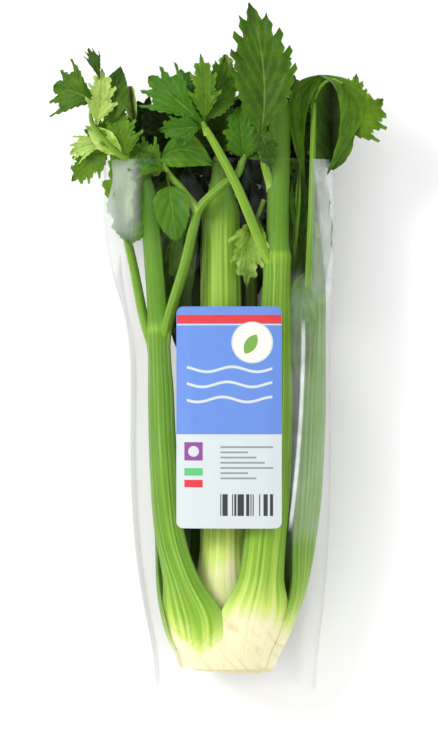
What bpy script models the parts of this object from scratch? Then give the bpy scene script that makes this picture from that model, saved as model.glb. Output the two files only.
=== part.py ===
"""A head of celery in an open clear film sleeve with a paper label, lying down.

Run it with: blender --background --python part.py
Lengths are millimetres and are turned into metres as each mesh is made. The head lies along Y
with its cut butt towards -Y and its leaves towards +Y. +Z is up, and the sleeve's flat underside
is at Z = 0. The origin is on that underside, under the middle of the stalks.
"""

import math

import bmesh
import bpy
from mathutils import Vector

MM = 0.001
GAP = 0.4                    # clearance between two pieces that touch

# The head's outline at stations along Y: (y, centre x, half width, half height).
HEAD_STATIONS = (
    (-168.0, -2.6, 32.0, 29.5),
    (-158.0, -2.4, 37.0, 31.5),
    (-146.0, -1.8, 41.0, 32.5),
    (-130.0, -0.5, 45.0, 33.5),
    (-105.0, 1.0, 48.0, 34.0),
    (-70.0, 2.0, 51.0, 34.0),
    (-10.0, 2.5, 53.0, 34.0),
    (180.0, 2.0, 53.0, 33.0),
)
HEAD_CENTRE_Z = 36.6         # height of the head's axis over the surface
BASE_Y = -166.0              # where the stalks leave the butt
RING_END_Y = -144.0          # up to here the stalk bases are packed side by side
BUTT_CUT_Y = -179.0          # the knife cut across the root end

RIB_COUNT = 8                # strings along a stalk's outer face
RIB_HEIGHT = 0.75            # how far a string stands up
RIB_FACTORS = (0.0, 1.0)     # valley, crest
MOST_DEPTH = 0.82            # a stalk's thickness as a share of its section's radius, at most
EDGE_DEPTH = 0.32            # thickness at a stalk's edges as a share of that in the middle
EDGE_POWER = 2.4             # how late the thickness falls off towards the edges
INNER_WRAP = 0.97            # how far the hollow side wraps, as a share of the outer face

TUBE_SIDES = 6

BLADE_THICKNESS = 0.7
BLADE_FOLD = 0.22            # rise of a blade's sides for each millimetre from the midrib
WAVE_HEIGHT = 0.035          # waves along a blade's edge, as a share of its length
WAVE_RATE = 5.5              # radians of wave from base to tip
WAVE_SHIFT = 1.3             # radians between the waves of the two sides

BUTT_SIDES = 36
BUTT_LOBES = 6               # one for each outer stalk
BUTT_GROOVE = 0.022          # depth between the lobes as a share of the butt's radius
BUTT_TURN = math.radians(104.0)

FILM_WALL = 0.6
FILM_BOTTOM_Y = -190.0
FILM_MOUTH_Y = 130.0

LABEL_LEFT, LABEL_RIGHT = -33.0, 29.5
LABEL_BOTTOM, LABEL_TOP = -91.0, 41.5
LABEL_THICKNESS = 0.5
LABEL_CORNER = 4.0
LABEL_GAP = 0.6              # over the sleeve's facets, which the label only follows between cuts

# Half outline of a leaflet: (place along the midrib, place of the edge point along the length,
# edge point across as a share of the half width). Rows go wedge, lower lobe, middle lobe, tip.
LEAFLET_EDGE = (
    (0.00, 0.00, 0.05),
    (0.10, 0.13, 0.16),
    (0.19, 0.31, 0.66),
    (0.29, 0.36, 0.56),
    (0.36, 0.55, 1.00),
    (0.46, 0.52, 0.55),
    (0.55, 0.70, 0.78),
    (0.64, 0.69, 0.42),
    (0.73, 0.84, 0.48),
    (0.85, 0.87, 0.20),
    (1.00, 1.00, 0.03),
)

COLOURS = {
    "stalk": ((0.36, 0.56, 0.11), 0.42),
    "heart_stalk": ((0.62, 0.72, 0.24), 0.42),
    "leaf": ((0.13, 0.30, 0.04), 0.5),
    "butt": ((0.82, 0.76, 0.55), 0.6),
    "film": ((0.92, 0.95, 0.95), 0.12),
    "label": ((0.22, 0.38, 0.80), 0.45),
}


def clear_scene():
    for obj in list(bpy.data.objects):
        bpy.data.objects.remove(obj, do_unlink=True)


def make_material(name):
    colour, roughness = COLOURS[name]
    material = bpy.data.materials.new(name)
    material.use_nodes = True
    shader = material.node_tree.nodes["Principled BSDF"]
    shader.inputs["Base Color"].default_value = (*colour, 1.0)
    shader.inputs["Roughness"].default_value = roughness
    shader.inputs["Metallic"].default_value = 0.0
    material.diffuse_color = (*colour, 1.0)
    return material


def add_object(name, bm, material):
    """Links the bmesh, drawn in millimetres, as an object in metres."""
    bmesh.ops.recalc_face_normals(bm, faces=bm.faces)
    bmesh.ops.scale(bm, vec=(MM, MM, MM), verts=bm.verts)
    mesh = bpy.data.meshes.new(name)
    bm.to_mesh(mesh)
    bm.free()
    mesh.materials.append(material)
    obj = bpy.data.objects.new(name, mesh)
    bpy.context.scene.collection.objects.link(obj)
    return obj


def between(rows, place):
    """A row of values at `place`, read from rows sorted by their first value, on a smooth curve."""
    if place <= rows[0][0]:
        return rows[0][1:]
    for k in range(len(rows) - 1):
        if place <= rows[k + 1][0]:
            break
    else:
        return rows[-1][1:]
    before, start, end = rows[max(k - 1, 0)], rows[k], rows[k + 1]
    after = rows[min(k + 2, len(rows) - 1)]
    step = end[0] - start[0]
    t = (place - start[0]) / step
    values = []
    for i in range(1, len(start)):
        slope_in = (end[i] - before[i]) / (end[0] - before[0]) * step
        slope_out = (after[i] - start[i]) / (after[0] - start[0]) * step
        values.append(
            (2 * t**3 - 3 * t**2 + 1) * start[i]
            + (t**3 - 2 * t**2 + t) * slope_in
            + (3 * t**2 - 2 * t**3) * end[i]
            + (t**3 - t**2) * slope_out
        )
    return tuple(values)


def loft(rings):
    """A closed solid through rings of points, all with the same count."""
    bm = bmesh.new()
    made = [[bm.verts.new(point) for point in ring] for ring in rings]
    for ring in made:
        for k in range(len(ring)):
            bm.edges.new((ring[k - 1], ring[k]))
    for lower, upper in zip(made, made[1:]):
        count = len(lower)
        for k in range(count):
            bm.faces.new((lower[k - 1], lower[k], upper[k], upper[k - 1]))
    bm.faces.new(made[0])
    bm.faces.new(made[-1])
    return bm


def union(base, others):
    """Joins the objects into `base` with one Boolean and removes them."""
    if not others:
        return base
    group = bpy.data.collections.new(base.name + "_joined")
    bpy.context.scene.collection.children.link(group)
    for obj in others:
        group.objects.link(obj)
    modifier = base.modifiers.new("join", "BOOLEAN")
    modifier.operation = "UNION"
    modifier.operand_type = "COLLECTION"
    modifier.collection = group
    modifier.solver = "EXACT"
    graph = bpy.context.evaluated_depsgraph_get()
    joined = bpy.data.meshes.new_from_object(base.evaluated_get(graph))
    base.modifiers.clear()
    base.data = joined
    for obj in others:
        bpy.data.objects.remove(obj, do_unlink=True)
    bpy.data.collections.remove(group)
    return base


# The head's rings of stalks

def head_at(y):
    centre_x, half_width, half_height = between(HEAD_STATIONS, y)
    return centre_x, half_width, half_height


def crest_point(y, ring, angle):
    """Where a stalk's outer crest passes: ring is its share of the head's radius."""
    centre_x, half_width, half_height = head_at(y)
    x = centre_x + ring * half_width * math.cos(angle)
    z = HEAD_CENTRE_Z + ring * half_height * math.sin(angle)
    return x, z


def crest_facing(y, angle):
    """The direction that the outer face looks in, as an angle in the XZ plane."""
    _, half_width, half_height = head_at(y)
    return math.atan2(math.sin(angle) / half_height, math.cos(angle) / half_width)


def arc_speed(y, ring, angle):
    """Length of the head's outline for each radian of angle."""
    _, half_width, half_height = head_at(y)
    return ring * math.hypot(half_width * math.sin(angle), half_height * math.cos(angle))


def stalk_section(width, thickness, half_wrap, rib_height, ribs, inner_points):
    """A crescent with ribs on its outer face, crest at (0, 0), outwards along the second axis."""
    radius = width / (2 * math.sin(half_wrap))
    thickness = min(thickness, MOST_DEPTH * radius)
    points = []
    steps = 2 * ribs
    for k in range(steps + 1):
        share = 2 * k / steps - 1
        angle = share * half_wrap
        rib = rib_height * RIB_FACTORS[k % 2]
        reach = radius + rib
        points.append((reach * math.sin(angle), reach * math.cos(angle) - radius))
    for k in range(inner_points):
        share = 1 - 2 * (k + 0.5) / inner_points
        angle = share * half_wrap * INNER_WRAP
        depth = thickness * (EDGE_DEPTH + (1 - EDGE_DEPTH) * (1 - abs(share) ** EDGE_POWER))
        reach = radius - depth
        points.append((reach * math.sin(angle), reach * math.cos(angle) - radius))
    return points


def stalk_shape(stalk):
    """Rows (y, width, thickness, half wrap in degrees) from the butt to the stalk's end."""
    base_angle, base_ring, half_sector = stalk["angles"][0], stalk["base_ring"], math.sin(stalk["sector"])
    base_width = 2 * arc_speed(BASE_Y, base_ring, base_angle) * half_sector
    ring_width = 2 * arc_speed(RING_END_Y, base_ring, base_angle) * half_sector
    sector = math.degrees(stalk["sector"])
    width, joint_width, end_width = stalk["widths"]
    joint, end = stalk["joint_y"], stalk["end_y"]
    thick = stalk["thickness"]
    return (
        (BASE_Y, base_width, thick * 0.80, sector),
        (RING_END_Y, ring_width * 0.97, thick * 0.84, sector),
        (-112.0, 0.45 * ring_width + 0.55 * width, thick * 0.95, sector + 11),
        (-70.0, width, thick, 50.0),
        (-15.0, width * 0.93, thick, 56.0),
        (joint - 12.0, joint_width, thick * 0.93, 62.0),
        (joint, joint_width * 1.06, thick * 0.96, 66.0),
        (joint + 8.0, joint_width * 0.84, thick * 0.86, 74.0),
        (end, end_width, min(thick * 0.7, end_width * 0.62), 80.0),
    )


def stalk_angle(stalk, y):
    base, middle, top = stalk["angles"]
    rows = ((BASE_Y, base), (RING_END_Y, base), (-60.0, middle), (stalk["end_y"], top))
    return between(rows, y)[0]


def stalk_ring(stalk, y):
    rows = (
        (BASE_Y, stalk["base_ring"]),
        (RING_END_Y, stalk["base_ring"]),
        (-80.0, stalk["ring"]),
        (stalk["end_y"], stalk["ring"]),
    )
    return between(rows, y)[0]


def stalk_stations(stalk):
    joint, end = stalk["joint_y"], stalk["end_y"]
    low = [BASE_Y, -156.0, RING_END_Y, -130.0, -112.0, -92.0, -70.0, -30.0]
    return low + [joint - 12.0, joint, joint + 8.0, 0.5 * (joint + 8.0 + end), end]


def stalk_mesh(stalk):
    """The stalk's petiole from the butt, through its joint, to where its leaf begins."""
    shape = stalk_shape(stalk)
    rings = []
    for y in stalk_stations(stalk):
        width, thickness, wrap = between(shape, y)
        angle = stalk_angle(stalk, y)
        x, z = crest_point(y, stalk_ring(stalk, y), angle)
        facing = crest_facing(y, angle)
        rib = RIB_HEIGHT * min(1.0, width / 24.0) * stalk["rib_scale"]
        section = stalk_section(
            width, thickness, math.radians(wrap), rib, stalk["ribs"], stalk["inner_points"]
        )
        across = (math.sin(facing), -math.cos(facing))
        outwards = (math.cos(facing), math.sin(facing))
        rings.append(
            [
                (
                    x + u * across[0] + (v - rib) * outwards[0],
                    y,
                    z + u * across[1] + (v - rib) * outwards[1],
                )
                for u, v in section
            ]
        )
    return loft(rings)


def curve_points(points, steps):
    """Points of a smooth curve through `points`, each (x, y, z) or (x, y, z, radius)."""
    rows = [(float(k), *point) for k, point in enumerate(points)]
    last = len(points) - 1
    return [between(rows, last * k / steps) for k in range(steps + 1)]


def tube(points, start_radius, end_radius, steps, sides=TUBE_SIDES):
    """A tapering round stem along a smooth curve."""
    path = [Vector(p) for p in curve_points(points, steps)]
    rings = []
    side = None
    for k, point in enumerate(path):
        ahead = path[min(k + 1, steps)] - path[max(k - 1, 0)]
        ahead.normalize()
        if side is None:
            side = ahead.orthogonal().normalized()
        side = (side - ahead * side.dot(ahead)).normalized()
        other = ahead.cross(side)
        radius = start_radius + (end_radius - start_radius) * k / steps
        rings.append(
            [
                point
                + side * (radius * math.cos(2 * math.pi * n / sides))
                + other * (radius * math.sin(2 * math.pi * n / sides))
                for n in range(sides)
            ]
        )
    return loft(rings)


def leaflet(base, bow, tip, width, roll):
    """A toothed three-lobed blade. Its midrib is a curve from base to tip, pulled towards bow."""
    start, pull, end = Vector(base), Vector(bow), Vector(tip)
    chord = end - start
    length = chord.length
    ahead = chord.normalized()
    facing = Vector((0.0, 0.0, 1.0))
    across = ahead.cross(facing)
    if across.length < 0.2:
        across = ahead.cross(Vector((0.0, -1.0, 0.0)))
    across.normalize()
    up = across.cross(ahead)
    angle = math.radians(roll)
    across, up = (
        across * math.cos(angle) + up * math.sin(angle),
        up * math.cos(angle) - across * math.sin(angle),
    )
    rows = len(LEAFLET_EDGE) - 1
    bm = bmesh.new()
    bmesh.ops.create_grid(bm, x_segments=2, y_segments=rows, size=1.0)
    for vert in bm.verts:
        row = round((vert.co.y + 1) / 2 * rows)
        column = round(vert.co.x)
        mid, along, out = LEAFLET_EDGE[row]
        t = mid if column == 0 else along
        rib = start * (1 - t) ** 2 + pull * (2 * t * (1 - t)) + end * t**2
        reach = column * out * width / 2
        wave = WAVE_HEIGHT * length * math.sin(WAVE_RATE * t + WAVE_SHIFT * column) * abs(column) * out
        vert.co = rib + across * reach + up * (BLADE_FOLD * abs(reach) + wave)
    bmesh.ops.triangulate(bm, faces=bm.faces)
    return bm


def thick_blade(name, bm, material):
    """The blade as a solid, BLADE_THICKNESS thick, split alike on both faces."""
    blade = add_object(name, bm, material)
    modifier = blade.modifiers.new("thickness", "SOLIDIFY")
    modifier.thickness = BLADE_THICKNESS * MM
    modifier.offset = 0.0
    graph = bpy.context.evaluated_depsgraph_get()
    solid = bpy.data.meshes.new_from_object(blade.evaluated_get(graph))
    blade.modifiers.clear()
    blade.data = solid
    return blade


# The stalks: outer ring of six, inner ring of three, and a heart of three

# Half the angle that each takes of its ring at the base, less a margin to its neighbours.
OUTER_SECTOR = math.radians(30.0 - 1.3)
INNER_SECTOR = math.radians(60.0 - 3.0)
HEART_SECTOR = math.radians(60.0 - 8.0)


def outer_stalk(name, angles, widths, joint_y, end_y, branches=(), ring=1.0):
    return {
        "name": name, "angles": [math.radians(a) for a in angles], "sector": OUTER_SECTOR,
        "base_ring": 1.0, "ring": ring, "widths": widths, "thickness": 9.2,
        "joint_y": joint_y, "end_y": end_y, "ribs": RIB_COUNT, "inner_points": 5,
        "rib_scale": 1.0, "branches": branches, "material": "stalk",
    }


def inner_stalk(name, angles, ring, widths, joint_y, end_y):
    return {
        "name": name, "angles": [math.radians(a) for a in angles], "sector": INNER_SECTOR,
        "base_ring": 0.725, "ring": ring, "widths": widths, "thickness": 7.6,
        "joint_y": joint_y, "end_y": end_y, "ribs": 6, "inner_points": 5,
        "rib_scale": 0.6, "branches": (), "material": "heart_stalk",
    }


def heart_stalk(name, angles, end_y):
    return {
        "name": name, "angles": [math.radians(a) for a in angles], "sector": HEART_SECTOR,
        "base_ring": 0.46, "ring": 0.27, "widths": (11.5, 9.5, 5.0), "thickness": 4.6,
        "joint_y": end_y - 34.0, "end_y": end_y, "ribs": 3, "inner_points": 3,
        "rib_scale": 0.5, "branches": (), "material": "heart_stalk",
    }


# Each branch: (points from its root in the stalk to its end, root radius, end radius, steps).
STALKS = (
    outer_stalk(
        "stalk_front_left", (134, 148, 151), (27.5, 21.0, 12.0), 29.0, 124.0,
        (
            (
                (
                    (-42, 16, 50), (-37, 38, 57), (-28, 68, 61.5), (-23.2, 89, 62.5),
                    (-19, 101.5, 62.5), (-6, 114, 62.5), (3, 121, 62.5), (6, 128.5, 62.5),
                ),
                3.6, 2.2, 11,
            ),
            (((-20.5, 99, 62.3), (-30, 112, 62), (-36, 119, 62)), 2.4, 1.8, 3),
            (
                (
                    (-47, 16, 43), (-53.5, 36, 42), (-59.5, 66, 40),
                    (-65, 90, 39), (-70, 113, 39.5), (-71.5, 130, 41),
                ),
                3.4, 2.0, 8,
            ),
        ),
        ring=1.06,
    ),
    outer_stalk(
        "stalk_front_right", (74, 65, 62), (27.0, 17.5, 11.5), 72.0, 166.0,
        (
            (((23, 66, 61), (18, 77, 65), (3, 113, 69.3), (-8.5, 135, 71), (-16, 148, 72)), 3.6, 2.2, 7),
            (((24, 112, 60), (20, 124, 67), (17.5, 137, 73)), 2.6, 2.1, 3),
        ),
    ),
    outer_stalk(
        "stalk_right", (14, 24, 16), (27.0, 19.0, 10.0), 46.0, 135.0,
        (
            (
                (
                    (49, 28, 46), (47, 43, 52), (45, 64, 58),
                    (43, 116, 60), (46, 146, 61), (49, 165, 62),
                ),
                3.2, 1.9, 9,
            ),
        ),
        ring=1.06,
    ),
    outer_stalk("stalk_back_right", (-46, -52, -52), (27.0, 18.5, 10.0), 60.0, 128.0),
    outer_stalk("stalk_back_left", (-106, -119, -117), (27.0, 18.5, 10.0), 44.0, 122.0),
    outer_stalk("stalk_left", (-166, -161, -163), (25.0, 17.0, 10.0), 12.0, 104.0),
    inner_stalk("stalk_inner_front", (104, 107, 110), 0.585, (28.0, 23.0, 11.0), 92.0, 132.0),
    inner_stalk("stalk_inner_right", (-16, -14, -12), 0.56, (19.0, 14.0, 8.0), 84.0, 120.0),
    inner_stalk("stalk_inner_left", (-136, -146, -146), 0.56, (19.0, 14.0, 8.0), 78.0, 116.0),
    heart_stalk("heart_stalk_1", (44, 40, 40), 112.0),
    heart_stalk("heart_stalk_2", (164, 168, 168), 104.0),
    heart_stalk("heart_stalk_3", (-76, -76, -76), 98.0),
)


def build_stalk(stalk, materials):
    material = materials[stalk["material"]]
    body = add_object(stalk["name"], stalk_mesh(stalk), material)
    arms = []
    for k, (points, root, end, steps) in enumerate(stalk["branches"]):
        arms.append(add_object(f"{stalk['name']}_arm_{k}", tube(points, root, end, steps), material))
    return union(body, arms)


# The butt

def build_butt(materials):
    """The root end: a short stem disc, cut flat across, with a bulge and shallow grooves."""
    profile = (
        (BUTT_CUT_Y, 0.80), (BUTT_CUT_Y + 1.2, 0.86), (-174.0, 0.93), (-169.5, 0.985), (BASE_Y - GAP, 0.97),
    )
    centre_x, half_width, half_height = head_at(BASE_Y)
    rings = []
    for y, share in profile:
        ring = []
        for k in range(BUTT_SIDES):
            angle = 2 * math.pi * k / BUTT_SIDES
            groove = BUTT_GROOVE * (1 + math.cos(BUTT_LOBES * (angle - BUTT_TURN))) / 2
            reach = share * (1 - groove)
            ring.append(
                (
                    centre_x + reach * half_width * math.cos(angle),
                    y,
                    HEAD_CENTRE_Z + reach * half_height * math.sin(angle),
                )
            )
        rings.append(ring)
    return add_object("butt", loft(rings), materials["butt"])


# The leaves. Each spray is (name, stem points, stem radii, steps, leaflets), and each leaflet is
# (base, bow, tip, width, roll).

SPRAYS = (
    (
        "leaf_front_left_top",
        ((-49, 125.5, 57), (-57, 138, 62), (-66, 149, 66), (-74, 157, 67)), (2.6, 1.5), 5,
        (
            ((-73.5, 156.5, 67), (-90, 166, 71), (-107, 177, 60), 32, 10),
            ((-73, 156, 67), (-83, 172, 76), (-86, 195, 72), 19, 50),
            ((-66, 149, 66), (-66, 168, 64), (-67, 185, 53), 22, -30),
            ((-60, 141, 63), (-56, 156, 68), (-52, 173, 62), 19, 50),
            ((-57, 138, 62), (-70, 142, 68), (-84, 150, 57), 27, 20),
        ),
    ),
    (
        "leaf_left_side",
        ((-71.6, 130.6, 41.2), (-74, 138, 44), (-80, 145, 46), (-87, 152, 48)), (1.9, 1.1), 4,
        (
            ((-75, 139, 44.3), (-86, 138, 50), (-98, 131, 40), 20, 10),
            ((-74, 138, 43.5), (-88, 132, 46), (-97, 117, 32), 21, -15),
        ),
    ),
    (
        "leaf_left_pressed",
        ((-65.5, 90, 43.5), (-63, 96, 47)), (1.5, 1.2), 2,
        (((-63.3, 95, 47), (-63, 110, 55), (-56, 136, 57), 27, 50),),
    ),
    (
        "leaf_front_left_inner",
        ((-36.8, 120.2, 62), (-39, 123.5, 63), (-41, 129, 64)), (1.7, 1.2), 2,
        (
            ((-38.8, 122.8, 63.6), (-37, 106, 68.5), (-33.5, 84, 63), 21, 0),
            ((-41, 128, 64), (-38, 144, 72), (-31, 160, 68), 27, 15),
            ((-40.5, 128, 64), (-48, 138, 66), (-52, 150, 60), 19, -20),
        ),
    ),
    (
        "leaf_front_middle",
        ((6.5, 129.2, 62.5), (8, 133, 63)), (2.0, 1.6), 2,
        (
            ((7.6, 131, 62.8), (5, 146, 70), (3, 160, 67), 20, 0),
            ((7.4, 131, 62.6), (15, 138, 62), (21, 152, 57), 17, 0),
        ),
    ),
    (
        "leaf_front_high",
        ((-16.4, 148.6, 72.1), (-17.5, 152, 72.5)), (2.0, 1.5), 2,
        (
            ((-17, 150.5, 72.4), (-17, 170, 82), (-19, 192, 77), 24, 20),
            ((-17.2, 150.5, 72.4), (-33, 166, 80), (-49, 183, 68), 34, 10),
            ((-16.8, 150.5, 72.4), (-8, 168, 76), (-3, 190, 66), 26, 0),
        ),
    ),
    (
        "leaf_front_large",
        ((17.3, 137.8, 73.3), (16.8, 142, 75)), (2.1, 1.8), 2,
        (((16.8, 141, 74.8), (24, 180, 86), (10, 223, 72), 42, 0),),
    ),
    (
        "leaf_front_right_top",
        ((27.3, 167.2, 61.6), (27, 172, 62)), (3.0, 2.2), 2,
        (
            ((26.5, 170, 61.5), (15, 182, 63), (4, 205, 58), 27, 0),
            ((27.5, 170, 61.5), (36, 180, 60), (43, 190, 50), 24, 0),
            ((27, 171, 61.5), (29, 188, 62), (32, 203, 54), 26, 0),
        ),
    ),
    (
        "leaf_between_stalks",
        ((17.5, 101, 58.5), (15.5, 96, 60)), (1.6, 1.3), 2,
        (((16, 98, 59.5), (6.5, 78, 63.5), (9, 58, 60), 15, 25),),
    ),
    (
        "leaf_inner_front",
        ((-7.8, 132.8, 50.5), (-7, 138, 50), (-6, 146, 48)), (3.0, 1.8), 3,
        (
            ((-7, 137, 50), (-17, 147, 55), (-30, 164, 50), 32, 0),
            ((-6.5, 138, 50), (6, 152, 54), (13, 171, 48), 29, 0),
            ((-6, 145, 48), (-7, 164, 50), (-9, 184, 42), 32, 0),
            ((-7, 137, 50), (-19, 138.5, 52.5), (-36, 139, 45), 23, 0),
        ),
    ),
    (
        "leaf_right_curled",
        ((49.3, 165.8, 62.2), (51, 171, 63)), (1.7, 1.3), 2,
        (
            ((50, 168, 62.5), (82, 192, 84), (70, 128, 56), 30, 10),
            ((50, 168, 62.5), (40, 192, 72), (43, 133, 72), 20, -10),
        ),
    ),
    (
        "leaf_right_side",
        ((50.8, 137.6, 47), (52.4, 141.5, 46), (57, 144, 46), (63, 146, 47), (69, 147, 49)), (2.7, 1.5), 5,
        (
            ((68, 146.8, 48.5), (80, 152, 54), (92, 168, 47), 27, 0),
            ((68, 146.8, 48.5), (71, 162, 53), (75, 181, 46), 23, 0),
            ((61, 145.4, 46), (56, 156, 49), (54, 172, 44), 27, 0),
        ),
    ),
    (
        "leaf_right_pressed",
        ((50.5, 88, 57), (49.5, 93, 58)), (1.4, 1.2), 2,
        (((49.5, 91.5, 58), (52, 108, 60), (51, 127, 52), 14, -35),),
    ),
    (
        "leaf_back_right",
        ((34.5, 129, 14), (36, 137, 14), (39, 146, 15)), (2.7, 1.7), 3,
        (
            ((38.5, 145, 15), (50, 156, 20), (64, 164, 14), 32, 0),
            ((39, 145.5, 15), (41, 162, 20), (43, 183, 17), 31, 0),
            ((36, 137, 14), (25, 150, 17), (20, 168, 16), 29, 0),
        ),
    ),
    (
        "leaf_back_left",
        ((-22.5, 123, 10.5), (-24, 131, 12), (-27, 141, 14)), (2.7, 1.7), 3,
        (
            ((-26.5, 140, 14), (-38, 150, 20), (-50, 164, 14), 32, 0),
            ((-27, 140.5, 14), (-25, 158, 20), (-22, 180, 18), 31, 0),
            ((-24, 132, 12), (-11, 144, 16), (-2, 160, 15), 28, 0),
        ),
    ),
    (
        "leaf_left_low",
        ((-49, 105, 31), (-55, 118, 26), (-61, 132, 23), (-67, 143, 23)), (2.6, 1.5), 5,
        (
            ((-66.5, 142.5, 23), (-80, 148, 27), (-94, 154, 19), 27, 0),
            ((-66.8, 143, 23), (-73, 160, 27), (-80, 174, 22), 26, 0),
            ((-63, 136, 23), (-54, 150, 27), (-50, 170, 28), 27, 0),
        ),
    ),
    (
        "leaf_inner_right",
        ((31.5, 120.8, 32), (32, 130, 31), (32, 140, 30)), (2.3, 1.5), 3,
        (
            ((32, 139, 30), (41, 152, 33), (54, 166, 27), 30, 0),
            ((32, 139.5, 30), (30, 156, 34), (27, 176, 32), 31, 0),
            ((32, 131, 31), (20, 142, 35), (8, 156, 32), 29, 0),
        ),
    ),
    (
        "leaf_inner_left",
        ((-24.5, 117, 26.5), (-26, 128, 28), (-29, 139, 30)), (2.3, 1.5), 3,
        (
            ((-28.8, 138, 30), (-40, 150, 36), (-53, 166, 34), 31, 0),
            ((-29, 138.5, 30), (-26, 156, 36), (-21, 177, 33), 31, 0),
            ((-26.5, 129, 28), (-40, 132, 32), (-55, 138, 34), 27, 0),
        ),
    ),
    (
        "leaf_heart",
        ((12, 113, 41.5), (12, 122, 42), (9, 133, 42)), (1.6, 1.1), 3,
        (
            ((9.5, 132, 42), (6, 146, 45), (2, 164, 40), 23, 0),
            ((12, 123, 42), (20, 133, 46), (31, 150, 42), 23, 0),
            ((12, 122, 42), (2, 128, 44), (-8, 134, 40), 15, 0),
        ),
    ),
)


def build_spray(spray, materials):
    name, stem_points, radii, steps, leaflets = spray
    material = materials["leaf"]
    stem = add_object(name, tube(stem_points, *radii, steps), material)
    blades = []
    for k, (base, bow, tip, width, roll) in enumerate(leaflets):
        sheet = leaflet(base, bow, tip, width, roll)
        blades.append(thick_blade(f"{name}_blade_{k}", sheet, material))
    return union(stem, blades)


# The clear sleeve and its label

# The sleeve's section where the stalks are widest: (x, z) from its lower left edge over the top to
# the lower right. The left edge is a flat wing, the right side is drawn tight round the stalks.
FILM_TIGHT = (
    (-74.0, 0.0), (-74.5, 1.8), (-66.0, 3.4), (-60.5, 12.0), (-58.5, 28.0), (-56.5, 44.0), (-50.5, 57.0),
    (-38.0, 66.5), (-24.0, 71.5), (-10.0, 74.0), (6.0, 75.4), (22.0, 75.4), (38.0, 72.5), (50.0, 66.0),
    (57.0, 55.0), (59.5, 41.0), (59.5, 26.0), (57.5, 12.0), (52.0, 2.5), (45.0, 0.0),
)
# The same points at the mouth, where leaves hold the film open on the left.
FILM_OPEN = (
    (-62.0, 0.0), (-71.0, 5.0), (-76.0, 14.0), (-77.5, 26.0), (-77.5, 38.0), (-75.5, 49.0), (-68.0, 59.0),
    (-54.0, 68.0), (-36.0, 73.0), (-14.0, 75.6), (6.0, 76.2), (22.0, 75.8), (38.0, 73.0), (50.0, 67.0),
    (58.0, 57.0), (61.5, 43.0), (61.5, 28.0), (58.5, 12.0), (52.5, 2.5), (45.0, 0.0),
)
# (y, how far the left side is held open, scale across, scale in height, shift across)
FILM_STATIONS = (
    (FILM_BOTTOM_Y, 0.0, 0.80, 0.915, 3.0),
    (-168.0, 0.0, 0.83, 0.93, 2.6),
    (-140.0, 0.0, 0.90, 0.95, 1.6),
    (-105.0, 0.0, 0.965, 0.975, 0.6),
    (-60.0, 0.0, 1.0, 0.99, 0.0),
    (0.0, 0.0, 1.0, 0.99, 0.0),
    (32.0, 0.20, 1.0, 0.995, 0.0),
    (62.0, 0.70, 1.0, 1.0, 0.0),
    (95.0, 1.0, 1.0, 1.0, 0.0),
    (FILM_MOUTH_Y, 1.0, 1.0, 1.0, 0.0),
)


def film_section(y):
    """Outer points of the sleeve at y, in the order of FILM_TIGHT."""
    opened, across, up, shift = between(FILM_STATIONS, y)
    opened = min(1.0, max(0.0, opened))
    points = []
    for (x0, z0), (x1, z1) in zip(FILM_TIGHT, FILM_OPEN):
        x = x0 + (x1 - x0) * opened
        z = z0 + (z1 - z0) * opened
        points.append((x * across + shift, z * up))
    return points


def film_top(x, y):
    """Height of the sleeve's upper surface over (x, y)."""
    points = film_section(y)
    for (x0, z0), (x1, z1) in zip(points[4:], points[5:]):
        if x0 <= x <= x1:
            return z0 + (z1 - z0) * (x - x0) / (x1 - x0)
    return 0.0


def build_sleeve(materials):
    bm = bmesh.new()
    rings = [
        [bm.verts.new((x, station[0], z)) for x, z in film_section(station[0])]
        for station in FILM_STATIONS
    ]
    for lower, upper in zip(rings, rings[1:]):
        for k in range(len(lower)):
            bm.faces.new((lower[k - 1], lower[k], upper[k], upper[k - 1]))
    bmesh.ops.triangulate(bm, faces=bm.faces)
    sleeve = add_object("sleeve", bm, materials["film"])
    modifier = sleeve.modifiers.new("wall", "SOLIDIFY")
    modifier.thickness = FILM_WALL * MM
    modifier.offset = -1.0
    modifier.use_even_offset = True
    return sleeve


def label_outline():
    """The label's rounded rectangle, as (x, y) points."""
    points = []
    corners = (
        (LABEL_RIGHT, LABEL_BOTTOM, -90.0), (LABEL_RIGHT, LABEL_TOP, 0.0),
        (LABEL_LEFT, LABEL_TOP, 90.0), (LABEL_LEFT, LABEL_BOTTOM, 180.0),
    )
    for x, y, start in corners:
        centre_x = x - math.copysign(LABEL_CORNER, x)
        centre_y = y - math.copysign(LABEL_CORNER, y)
        for k in range(5):
            angle = math.radians(start + 22.5 * k)
            points.append(
                (centre_x + LABEL_CORNER * math.cos(angle), centre_y + LABEL_CORNER * math.sin(angle))
            )
    return points


def build_label(materials):
    """A paper sticker that follows the sleeve's upper surface."""
    bm = bmesh.new()
    bm.faces.new([bm.verts.new((x, y, 0.0)) for x, y in label_outline()])
    cuts_x = [x for x, _ in FILM_TIGHT[8:12]]
    cuts_y = [station[0] for station in FILM_STATIONS[3:7]]
    cuts = [((x, 0, 0), (1, 0, 0)) for x in cuts_x] + [((0, y, 0), (0, 1, 0)) for y in cuts_y]
    for point, normal in cuts:
        parts = bm.verts[:] + bm.edges[:] + bm.faces[:]
        bmesh.ops.bisect_plane(bm, geom=parts, plane_co=point, plane_no=normal)
    bmesh.ops.triangulate(bm, faces=bm.faces)
    for vert in bm.verts:
        vert.co.z = film_top(vert.co.x, vert.co.y) + LABEL_GAP
    label = add_object("label", bm, materials["label"])
    for polygon in label.data.polygons:
        if polygon.normal.z < 0:
            label.data.flip_normals()
            break
    modifier = label.modifiers.new("paper", "SOLIDIFY")
    modifier.thickness = LABEL_THICKNESS * MM
    modifier.offset = 1.0
    return label


def shade(obj):
    obj.data.shade_smooth()
    obj.data.set_sharp_from_angle(angle=math.radians(40.0))


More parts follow.
